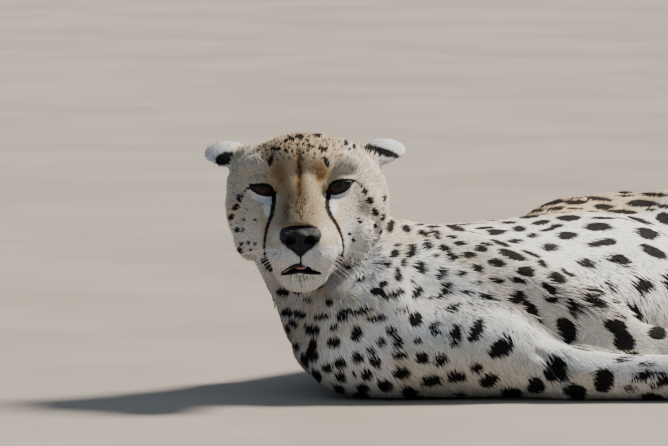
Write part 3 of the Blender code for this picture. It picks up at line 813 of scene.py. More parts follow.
# ---------------------------------------------------------------- head, ears and feet as volumes
@dataclass
class HeadForm:
    """Skull, brows, cheeks, muzzle, chin and ears, as volumes to be fused."""

    head: HeadFrame
    voxel: float = 0.0022
    ear_length: float = 0.046
    ear_width: float = 0.041
    ear_thickness: float = 0.0058
    ear_rows: int = 16
    ear_sides: int = 28
    # forward, middle height, half width, half height, narrowing of the lower half
    sections: tuple = (
        (-0.121, 0.002, 0.022, 0.02, 0.0), (-0.112, 0.0, 0.043, 0.036, 0.0),
        (-0.09, -0.008, 0.059, 0.05, 0.04), (-0.066, -0.013, 0.068, 0.0595, 0.08),
        (-0.044, -0.016, 0.0735, 0.0635, 0.12), (-0.028, -0.019, 0.071, 0.0625, 0.14),
        (-0.014, -0.0255, 0.064, 0.059, 0.12), (-0.002, -0.0345, 0.053, 0.053, 0.04),
        (0.012, -0.0425, 0.043, 0.0475, 0.0), (0.028, -0.049, 0.036, 0.042, 0.04),
        (0.046, -0.0535, 0.033, 0.035, 0.02), (0.06, -0.055, 0.0285, 0.0285, 0.0),
        (0.069, -0.055, 0.019, 0.019, 0.0))
    # place (side, forward, up) and radii of the paired masses: brow, cheekbone, cheek, side whiskers,
    # root of the ear, whisker pad and its back
    pairs: tuple = (
        ((0.034, -0.017, 0.019), (0.023, 0.015, 0.014)), ((0.056, -0.032, -0.016), (0.018, 0.027, 0.022)),
        ((0.047, -0.022, -0.042), (0.019, 0.026, 0.027)), ((0.062, -0.054, -0.018), (0.016, 0.03, 0.036)),
        ((0.047, -0.072, 0.018), (0.022, 0.028, 0.019)), ((0.017, 0.052, -0.0575), (0.0175, 0.019, 0.013)),
        ((0.0235, 0.035, -0.052), (0.0155, 0.02, 0.016)))
    # place and radii of crown, forehead, seat of the nose, chin and lower jaw
    middles: tuple = (
        ((0.0, -0.04, 0.0195), (0.05, 0.05, 0.03)), ((0.028, -0.05, 0.016), (0.032, 0.04, 0.0275)),
        ((0.0, -0.02, 0.015), (0.03, 0.025, 0.025)),
        ((0.0, 0.0605, -0.044), (0.015, 0.0095, 0.014)), ((0.0, 0.049, -0.082), (0.02, 0.015, 0.0115)),
        ((0.0, 0.022, -0.08), (0.025, 0.032, 0.014)))
    # forward, up, half width and half thickness down the bridge of the nose
    bridge: tuple = (
        (-0.02, 0.024, 0.023, 0.012), (0.006, 0.0045, 0.0165, 0.012), (0.03, -0.014, 0.0155, 0.012),
        (0.052, -0.0285, 0.0165, 0.011), (0.062, -0.036, 0.0165, 0.0095))

    def build(self) -> Mesh:
        """Fuse the head, with its ears."""
        axes = self.head.vectors()
        side, _, up = axes
        clay = Clay()
        clay.stack([oval(self.head.at(0.0, ahead, high), side, up, (half, tall), count=40, taper=taper)
                    for ahead, high, half, tall, taper in curved_rows(self.sections, steps=4)])
        for (away, forward, high), radii in self.pairs:
            for way in BOTH:
                clay.ball(self.head.at(away * way, forward, high), radii, axes)
        for place, radii in self.middles:
            clay.ball(self.head.at(*place), radii, axes)
        slope = (axes[1] * 0.78 - up * 0.62).normalized()
        across_slope = slope.cross(side).normalized()
        clay.stack([oval(self.head.at(0.0, ahead, high), side, across_slope, (half, thick), count=28,
                         square=0.85)
                    for ahead, high, half, thick in curved_rows(self.bridge, steps=4)])
        clay.add_mesh(fused(self.solid_of(clay), self.voxel, rounds=5))
        return clay.mesh()

    def solid_of(self, clay: Clay) -> Mesh:
        """Take the volumes out of the clay and leave the ears in it."""
        body = clay.mesh()
        clay.bm = bmesh.new()
        for way in BOTH:
            clay.stack(self.ear_rings(way))
        return body

    def ear_rings(self, way: float) -> list[list[Vector]]:
        """Rings of one cupped ear from its root to its tip; way is 1 for the animal's left."""
        _, forward, up = self.head.vectors()
        root = self.head.at(way * 0.051, -0.07, 0.0215)
        tip = self.head.at(way * 0.091 - 0.002, -0.086, 0.0258 - way * 0.001)
        along = (tip - root).normalized()
        facing = (forward * 0.6 + up * 0.8).normalized()
        across = along.cross(facing).normalized()
        facing = across.cross(along).normalized()
        rings = []
        for row in range(self.ear_rows + 1):
            share = row / self.ear_rows
            swell = 0.84 + 0.16 * math.sin(math.pi * share)
            outline = math.sqrt(max(1.0 - (0.985 * share) ** 4.2, 0.0)) * swell
            half_wide = self.ear_width / 2 * outline
            half_thick = self.ear_thickness / 2 * (1.0 - 0.3 * share) * min(1.0, 0.35 + outline)
            points = []
            for index in range(self.ear_sides):
                angle = FULL_TURN * index / self.ear_sides
                wide = math.cos(angle) * half_wide
                bend = 0.01 * math.sin(math.pi * share * 0.8)
                cup = -10.0 * wide ** 2 + math.sin(angle) * half_thick + bend
                points.append(root + along * self.ear_length * share + across * wide + facing * (cup - 0.001))
            rings.append(points)
        return rings


@dataclass(frozen=True)
class Foot:
    """One foot that lies on its right edge, with its toes, pads and claws."""

    name: str
    ankle: tuple[float, float]
    heading: float
    tilt: float
    length: float
    half_wide: float
    half_thick: float
    press: float = 0.0075

    def axes(self) -> tuple[Vector, Vector, Vector]:
        """Across, forward and towards the foot's back."""
        turn = math.radians(self.heading)
        forward = Vector((math.cos(turn), math.sin(turn), 0.0))
        level = forward.cross(Vector((0.0, 0.0, 1.0)))
        lean = math.radians(self.tilt)
        across = Vector((0.0, 0.0, 1.0)) * math.cos(lean) - level * math.sin(lean)
        return across, forward, forward.cross(across).normalized()

    def palm(self) -> Vector:
        """Middle of the palm."""
        lean = math.radians(self.tilt)
        high = self.half_wide * math.cos(lean) + self.half_thick * math.sin(lean) - self.press
        return Vector((*self.ankle, high)) + self.axes()[1] * self.length * 0.22

    def toes(self) -> list[tuple[Vector, float]]:
        """Middle and place across (-1 to 1) of each toe."""
        across, forward, back = self.axes()
        found = []
        for toe in range(4):
            shift = (toe - 1.5) / 1.5
            reach = self.length * (0.35 - 0.07 * shift ** 2)
            found.append((self.palm() + forward * reach + across * shift * self.half_wide * 0.66
                          - back * 0.001, shift))
        return found

    def shape(self, clay: Clay) -> None:
        """Add the foot's volumes, a little inside its outline."""
        across, forward, back = self.axes()
        axes = (across, forward, back)
        clay.ball(self.palm(), (self.half_wide * 0.9, self.length * 0.4, self.half_thick * 0.86), axes)
        clay.ball(self.palm() - back * self.half_thick * 0.62 + forward * self.length * 0.02,
                  (self.half_wide * 0.56, self.length * 0.17, self.half_thick * 0.42), axes)
        for middle, _ in self.toes():
            clay.ball(middle, (self.half_wide * 0.265, self.length * 0.25, self.half_thick * 0.7), axes)
            clay.ball(middle + forward * self.length * 0.11 + back * self.half_thick * 0.08,
                      (self.half_wide * 0.225, self.length * 0.13, self.half_thick * 0.56), axes)
            clay.ball(middle - back * self.half_thick * 0.56 + forward * self.length * 0.06,
                      (self.half_wide * 0.2, self.length * 0.085, self.half_thick * 0.34), axes)

    def pad_share(self, points: Array) -> Array:
        """How much of a bare pad each point is."""
        across, forward, back = (np.array(axis) for axis in self.axes())
        bare = np.zeros(len(points))
        spots = [(self.palm() + Vector(forward) * self.length * 0.02, self.half_wide * 0.52,
                  self.length * 0.155)]
        spots += [(middle + Vector(forward) * self.length * 0.06, self.half_wide * 0.19, self.length * 0.085)
                  for middle, _ in self.toes()]
        for centre, wide, long in spots:
            offset = points - np.array(centre)
            away = np.hypot((offset @ across) / wide, (offset @ forward) / long)
            under = offset @ back < -self.half_thick * 0.45
            near = np.linalg.norm(offset, axis=1) < self.length * 0.3
            bare = np.maximum(bare, np.where(under & near, ramp(1.15, 0.85, away), 0.0))
        return bare


FEET = (
    Foot("foreleg_right", (0.0775, -0.5041), -8.1, 40.0, 0.098, 0.032, 0.0235),
    Foot("foreleg_left", (0.0975, -0.4111), -1.4, 48.0, 0.098, 0.032, 0.0235),
    Foot("hindleg_right", (0.3915, -0.3581), -57.7, 38.0, 0.092, 0.029, 0.0215),
    Foot("hindleg_left", (0.4815, -0.1761), -50.5, 46.0, 0.092, 0.029, 0.0215),
)


# ---------------------------------------------------------------- the face's openings
@dataclass(frozen=True)
class Opening:
    """The half-closed eye between its lids, in the eye's own plane."""

    half_length: float
    above: float
    below: float
    slant: float
    shift: tuple[float, float]
    lean: float = 0.35
    eye_radius: float = EYE_RADIUS

    def place(self, outward: Array, up: Array) -> tuple[Array, Array]:
        """Place along the opening and above its middle line."""
        x, y = outward - self.shift[0], up - self.shift[1]
        return (x * math.cos(self.slant) + y * math.sin(self.slant),
                y * math.cos(self.slant) - x * math.sin(self.slant))

    def level(self, outward: Array, up: Array) -> Array:
        """Distance outside the opening's edge, below 0 within it."""
        u, v = self.place(outward, up)
        bow = np.maximum(1.0 - (u / self.half_length) ** 2, 0.0) ** 0.75
        arch = bow * (1.0 - self.lean * u / self.half_length)
        inside = np.maximum(v - self.above * arch, -v - self.below * bow)
        beyond = np.hypot(np.maximum(np.abs(u) - self.half_length, 0.0), v)
        return np.where(np.abs(u) > self.half_length * 0.98, beyond, inside)

    def edge(self, count: int) -> list[tuple[float, float]]:
        """Points round the opening, from its outer corner over the top."""
        found = []
        for index in range(count):
            angle = FULL_TURN * index / count
            u = math.cos(angle) * self.half_length
            bow = abs(math.sin(angle)) ** 1.5
            arch = bow * (1.0 - self.lean * u / self.half_length)
            v = arch * self.above if math.sin(angle) > 0 else -bow * self.below
            found.append((self.shift[0] + u * math.cos(self.slant) - v * math.sin(self.slant),
                          self.shift[1] + u * math.sin(self.slant) + v * math.cos(self.slant)))
        return found

    def front(self, outward: Array, up: Array, swell: float = 0.0) -> Array:
        """How far forward of the eye's centre the ball's front stands, flattened out beyond its edge."""
        radius = self.eye_radius + swell
        away = np.hypot(outward, up)
        inner = np.minimum(away, radius * 0.86)
        return np.sqrt(radius ** 2 - inner ** 2) - (away - inner) * 0.9


# The right eye is drawn narrower than the left
OPENINGS = {-1.0: Opening(0.0104, 0.0041, 0.0025, math.radians(18.5), (0.001, -0.0014), 0.6),
            1.0: Opening(0.0112, 0.0048, 0.0035, math.radians(23.0), (0.0022, -0.0003))}


@dataclass(frozen=True)
class Mouth:
    """The parted lips, an arch that falls to its corners."""

    half_width: float = 0.0188
    top: float = -0.0706
    corner: float = -0.079
    gape: float = 0.006

    def upper(self, side: Array) -> Array:
        """Height of the upper lip's edge."""
        share = np.minimum(np.abs(side) / self.half_width, 1.0)
        return self.top + (self.corner - self.top) * share ** 1.25

    def lower(self, side: Array) -> Array:
        """Height of the lower lip's edge."""
        share = np.minimum(np.abs(side) / self.half_width, 1.0)
        return self.upper(side) - self.gape * (1.0 - share ** 1.6)

    def inside(self, side: Array, up: Array) -> Array:
        """How far within the gap each point is, below 0 outside it."""
        gap = np.minimum(self.upper(side) - up, up - self.lower(side))
        return np.where(np.abs(side) < self.half_width, gap, -1.0)


@dataclass(frozen=True)
class NoseOutline:
    """The bare nose leather's outline on the face's map: height and half width, from the top down."""

    rows: tuple = ((-0.0345, 0.0085), (-0.0372, 0.015), (-0.0405, 0.0182), (-0.045, 0.0188), (-0.05, 0.0168),
                   (-0.0545, 0.012), (-0.0585, 0.0062), (-0.0625, 0.0022))

    def level(self, side: Array, drawn: Array) -> Array:
        """Distance outside the outline, below 0 within it."""
        heights, halves = np.array(self.rows[::-1]).T
        half = np.interp(drawn, heights, halves)
        return np.max([np.abs(side) - half, (drawn - heights[-1]) * 0.8, (heights[0] - drawn) * 0.8], axis=0)


NOSE = NoseOutline()


# The fold between upper arm and forearm, on the front view's map: across, high and half width, in metres
ELBOW_CREASE = ((0.186, -0.118, 0.001), (0.203, -0.13, 0.003), (0.214, -0.144, 0.0035),
                (0.218, -0.158, 0.003))


# ---------------------------------------------------------------- the skin
@dataclass
class Skin:
    """One closed skin over the whole animal, drawn in from the coat's tips, with its face sculpted."""

    head: HeadFrame
    openings: dict[float, Opening] = field(default_factory=lambda: OPENINGS)
    mouth: Mouth = field(default_factory=Mouth)
    swell: float = 0.00025
    body_voxel: float = 0.0045
    voxel: float = 0.0026
    triangles: int = 150000
    # how far from its middle the head keeps its fine mesh
    head_reach: float = 0.135
    # place and radii of soft masses that round the loins and the brisket
    fillings: tuple = (((-0.14, 0.035, 0.116), (0.036, 0.06, 0.04)),
                       ((-0.124, 0.095, 0.11), (0.036, 0.055, 0.043)),
                       ((-0.419, -0.44, 0.048), (0.03, 0.05, 0.035)))
    surface: Surface = field(init=False)
    near: dict[str, Array] = field(init=False, default_factory=dict)
    region: Array = field(init=False)
    travel: Array = field(init=False)

    def build(self) -> "Skin":
        """Make the skin's shape and the fields that follow it."""
        self.surface = Surface.of(self.whole())
        self.find_regions()
        start = self.nearest(self.head.at(0.0, 0.07, -0.045))
        travel = self.surface.travel(start)
        self.travel = self.surface.soften(travel, rounds=25)
        return self

    def nearest(self, place: Vector) -> int:
        """The skin's point nearest to a place."""
        return int(np.argmin(((self.surface.points - np.array(place)) ** 2).sum(axis=1)))

    def whole(self) -> Mesh:
        """Fuse body, head and feet, then thin the body's mesh and refine the face's."""
        clay = Clay()
        for name in FLESH:
            if not name.startswith(("head", "ear")):
                clay.add_mesh(self.swollen_copy(name))
        trunk_axes = [Vector(axis) for axis in ((0.84, -0.54, 0.0), (0.54, 0.84, 0.0), (0.0, 0.0, 1.0))]
        for place, radii in self.fillings:
            clay.ball(Vector(place), radii, trunk_axes)
        body = fused(clay.mesh(), self.body_voxel, rounds=26)
        clay = Clay()
        clay.add_mesh(body)
        clay.add_mesh(HeadForm(self.head).build())
        for foot in FEET:
            foot.shape(clay)
        mesh = self.thinned(fused(clay.mesh(), self.voxel, rounds=3))
        return self.refined(mesh)

    def swollen_copy(self, name: str) -> Mesh:
        """A merged copy of a node, swollen to close the thin cuts between nodes."""
        bm = bmesh.new()
        bm.from_mesh(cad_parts[name].data)
        bmesh.ops.remove_doubles(bm, verts=bm.verts, dist=0.000002)
        bm.normal_update()
        for vert in bm.verts:
            vert.co += vert.normal * self.swell
        made = bpy.data.meshes.new(name)
        bm.to_mesh(made)
        bm.free()
        return made

    def thinned(self, mesh: Mesh) -> Mesh:
        """Thin the mesh everywhere but on the head."""
        helper = link("thinning", mesh)
        middle = np.array(self.head.at(0.0, -0.02, -0.02))
        body = np.linalg.norm(point_places(mesh) - middle, axis=1) > self.head_reach
        group = helper.vertex_groups.new(name="body")
        group.add(np.nonzero(body)[0].tolist(), 1.0, "REPLACE")
        lighten = helper.modifiers.new("lighten", "DECIMATE")
        lighten.ratio = min(1.0, self.triangles / (2 * len(mesh.polygons)))
        lighten.vertex_group = "body"
        result = settled(helper)
        drop(helper)
        return result

    def refined(self, mesh: Mesh) -> Mesh:
        """Split the faces finer on the face, and finer again round the eyes and the mouth."""
        eyes = [self.head.at(way * 0.036, 0.0, 0.0) for way in BOTH]
        levels = (([self.head.at(0.0, 0.02, -0.035)], 0.062),
                  ([self.head.at(0.0, 0.052, -0.07), *eyes], 0.02))
        with opened(mesh) as bm:
            for centres, reach in levels:
                chosen = set()
                for face in bm.faces:
                    middle = face.calc_center_median()
                    if any((middle - centre).length < reach for centre in centres):
                        chosen.update(face.edges)
                bmesh.ops.subdivide_edges(bm, edges=list(chosen), cuts=1, use_grid_fill=True)
                bmesh.ops.triangulate(bm, faces=[face for face in bm.faces if len(face.verts) > 4])
            bmesh.ops.triangulate(bm, faces=bm.faces)
        return mesh

    def find_regions(self) -> None:
        """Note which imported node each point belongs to, and soft shares of each stretch of the body."""
        samples, owners = [], []
        for index, name in enumerate(FLESH):
            solid = Surface.of(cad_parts[name].data)
            corners = solid.points[solid.faces]
            for weights in ((1, 1, 1), (4, 1, 1), (1, 4, 1), (1, 1, 4)):
                samples.append(np.einsum("nij,i->nj", corners, np.array(weights) / sum(weights)))
                owners.append(np.full(len(corners), index))
        places, owners = np.concatenate(samples), np.concatenate(owners)
        tree = point_tree(places)
        self.region = owners[[tree.find(point)[1] for point in self.surface.points]]

        def share(belongs: Callable[[str], bool]) -> Array:
            """Which points lie on the nodes whose names belong."""
            members = [index for index, name in enumerate(FLESH) if belongs(name)]
            return np.isin(self.region, members).astype(float)

        blurred = partial(self.surface.soften, rounds=8)
        for stretch in ("head", "ear", "neck", "trunk_chest", "trunk_belly", "trunk_hips", "foreleg",
                        "hindleg", "tail", "tail_tip"):
            self.near[stretch] = blurred(share(lambda name: name.startswith(stretch)))
        for part in ("upper", "lower", "foot"):
            self.near[part] = blurred(share(lambda name: name.endswith(part)))
        for way in ("left", "right"):
            self.near[way] = share(lambda name: name.startswith(("fore", "hind")) and way in name)
        self.near["trunk"] = self.near["trunk_chest"] + self.near["trunk_belly"] + self.near["trunk_hips"]

    def sink(self, depth: Array) -> None:
        """Draw the skin in from the coat's tips."""
        normals = unit(self.surface.soften(self.surface.normals(), rounds=4))
        self.surface.points = self.surface.points - normals * depth[:, None]

    def sculpt(self) -> None:
        """Turn the head a little, then shape muzzle, nose seat, lips and lids."""
        self.sculpt_turn()
        for shape in (self.muzzle, self.nose_seat, self.lips, *(partial(self.lids, way) for way in BOTH)):
            side, forward, up = self.head.coords(self.surface.points).T
            self.surface.points = self.head.world(np.stack((side, shape(side, forward, up), up), axis=1))

    def sculpt_turn(self) -> None:
        """Draw the back of the head aside, slim the right cheek, crease the elbow and lower the nape."""
        side, forward, up = self.head.coords(self.surface.points).T
        head = np.clip(self.near["head"] + self.near["ear"], 0.0, 1.0)
        back = ramp(-0.01, -0.05, forward) * head
        slim = ramp(-0.05, -0.07, side) * ramp(0.012, -0.008, up) * ramp(-0.085, -0.055, up)
        side = side + back * (0.003 + slim * 0.003)
        self.surface.points = self.head.world(np.stack((side, forward, up), axis=1))
        view = FrontView()
        across, high, _ = view.drawn(self.surface.points)
        facing = ramp(0.0, 0.4, unit(self.surface.normals()) @ view.axes()[2])
        crease = from_line(across, high, ELBOW_CREASE)
        behind = ramp(-0.1, -0.13, forward)
        nape = blob(across, high, (0.05, 0.008), (0.024, 0.018)) * self.near["neck"] * behind
        dent = ramp(-0.004, 0.004, crease) * facing * (self.near["foreleg"] + self.near["trunk_chest"])
        bump = blob(across, high, (0.232, -0.136), (0.02, 0.01)) * facing * self.near["foreleg"]
        self.surface.points = self.surface.points - view.axes()[2] * (dent * 0.0085 - bump * 0.005)[:, None]
        self.surface.points[:, 2] -= nape * 0.0095

    def muzzle(self, side: Array, forward: Array, up: Array) -> Array:
        """How far forward the skin stands once whisker pads, cleft and brow are shaped."""
        away = np.abs(side)
        pad = blob(away, up, (0.0165, -0.0585), (0.0105, 0.0095))
        cleft = hill(side, 0.0, 0.0017) * ramp(-0.0535, -0.0585, up) * ramp(-0.0745, -0.07, up)
        groove = hill(up, -0.047 - 0.3 * away, 0.003) * hill(away, 0.026, 0.01)
        brow = blob(away, up, (0.02, 0.013), (0.009, 0.0085))
        furrow = hill(side, 0.0, 0.0035) * ramp(-0.01, 0.008, up) * ramp(0.045, 0.03, up)
        shaped = forward + ramp(0.02, 0.04, forward) * (pad * 0.003 - cleft * 0.0026)
        shaped = shaped - ramp(0.0, 0.03, forward) * groove * 0.0012
        return shaped + ramp(-0.03, -0.01, forward) * (brow * 0.003 - furrow * 0.0018)

    def nose_seat(self, side: Array, forward: Array, up: Array) -> Array:
        """How far forward the skin stands once it's drawn back behind the nose leather."""
        level = NOSE.level(side, self.head.drawn(forward, up))
        behind = np.minimum(forward, 0.057)
        return forward + (behind - forward) * ramp(0.0004, -0.0016, level) * ramp(0.04, 0.046, forward)

    def lips(self, side: Array, forward: Array, up: Array) -> Array:
        """How far forward the skin stands once the lips are parted."""
        within = self.mouth.inside(side, self.head.drawn(forward, up))
        front = ramp(0.03, 0.04, forward)
        gap = ramp(-0.0002, 0.001, within) * front
        lip = hill(np.minimum(within, 0.0), -0.0014, 0.0014) * (within > -0.9) * front
        return forward - gap * 0.0085 + lip * 0.0006

    def lids(self, way: float, side: Array, forward: Array, up: Array) -> Array:
        """How far forward the skin stands once it's laid over one eyeball and hollowed behind the opening."""
        outward, opening = side * way - EYE_SPREAD, self.openings[way]
        level = opening.level(outward, up)
        lid = opening.front(outward, up, 0.0014) - EYE_SET_BACK
        fold = hill(level, 0.0052, 0.0011) * (up > opening.shift[1]) * 0.0009
        lid = lid + np.clip(level, 0.0, 0.006) * 0.1 - fold
        inside = opening.front(outward, up) - EYE_SET_BACK - 0.003
        shaped = forward + (lid - forward) * ramp(0.0105, 0.002, level)
        cover = opening.front(outward, up, 0.0011) - EYE_SET_BACK
        away = np.hypot(outward, up)
        shaped = np.where(away < opening.eye_radius, np.maximum(shaped, cover), shaped)
        shaped = shaped + (inside - shaped) * ramp(0.0004, -0.0007, level)
        return np.where((away < 0.032) & (forward > -0.035), shaped, forward)

    def around_eyes(self, points: Array) -> Iterator[tuple[Array, Array, Array]]:
        """For each eye: how far outward, how high in the opening and how far outside it the points lie."""
        side, _, up = self.head.coords(points).T
        for way, opening in self.openings.items():
            outward = side * way - EYE_SPREAD
            yield outward, opening.place(outward, up)[1], opening.level(outward, up)


# ---------------------------------------------------------------- the front view
@dataclass(frozen=True)
class FrontView:
    """The front view: the camera stands in it, and the marks that it shows are drawn on its flat map."""

    target: Place = (-0.41454, -0.51006, 0.1657)
    elevation: float = FACE_RISE
    distance: float = 7.0
    width: float = 0.6185

    def axes(self) -> tuple[Array, Array, Array]:
        """Across, up and towards the camera."""
        outward = np.array((0.0, -math.cos(self.elevation), math.sin(self.elevation)))
        across = np.array((1.0, 0.0, 0.0))
        return across, np.cross(outward, across), outward

    def eye(self) -> Array:
        """Where the camera stands."""
        return np.array(self.target) + self.axes()[2] * self.distance

    def drawn(self, points: Array) -> tuple[Array, Array, Array]:
        """Places on the flat map, and how far behind it the points lie."""
        across, up, outward = self.axes()
        offset = points - self.eye()
        depth = -offset @ outward
        wide, high = ((offset @ axis) / depth * self.distance for axis in (across, up))
        return wide, high, depth - self.distance

    def hit(self, tree: BVHTree, across: float, high: float) -> Optional[Array]:
        """The first point of the skin behind a place on the map."""
        side, up, _ = self.axes()
        on_map = np.array(self.target) + side * across + up * high
        found = tree.ray_cast(Vector(self.eye()), Vector(on_map - self.eye()).normalized())[0]
        return None if found is None else np.array(found)

    def seen(self, tree: BVHTree, points: Array, rise: Array) -> Array:
        """Which points the front view shows."""
        beams = unit(self.eye() - points)
        across, _, _ = self.drawn(points)
        chosen = (dot(rise, beams) > 0.06) & (np.abs(across) < self.width * 0.53)
        shown = np.zeros(len(points))
        for index in np.nonzero(chosen)[0]:
            start = Vector(points[index] + beams[index] * 0.0015)
            shown[index] = tree.ray_cast(start, Vector(beams[index]))[0] is None
        return shown


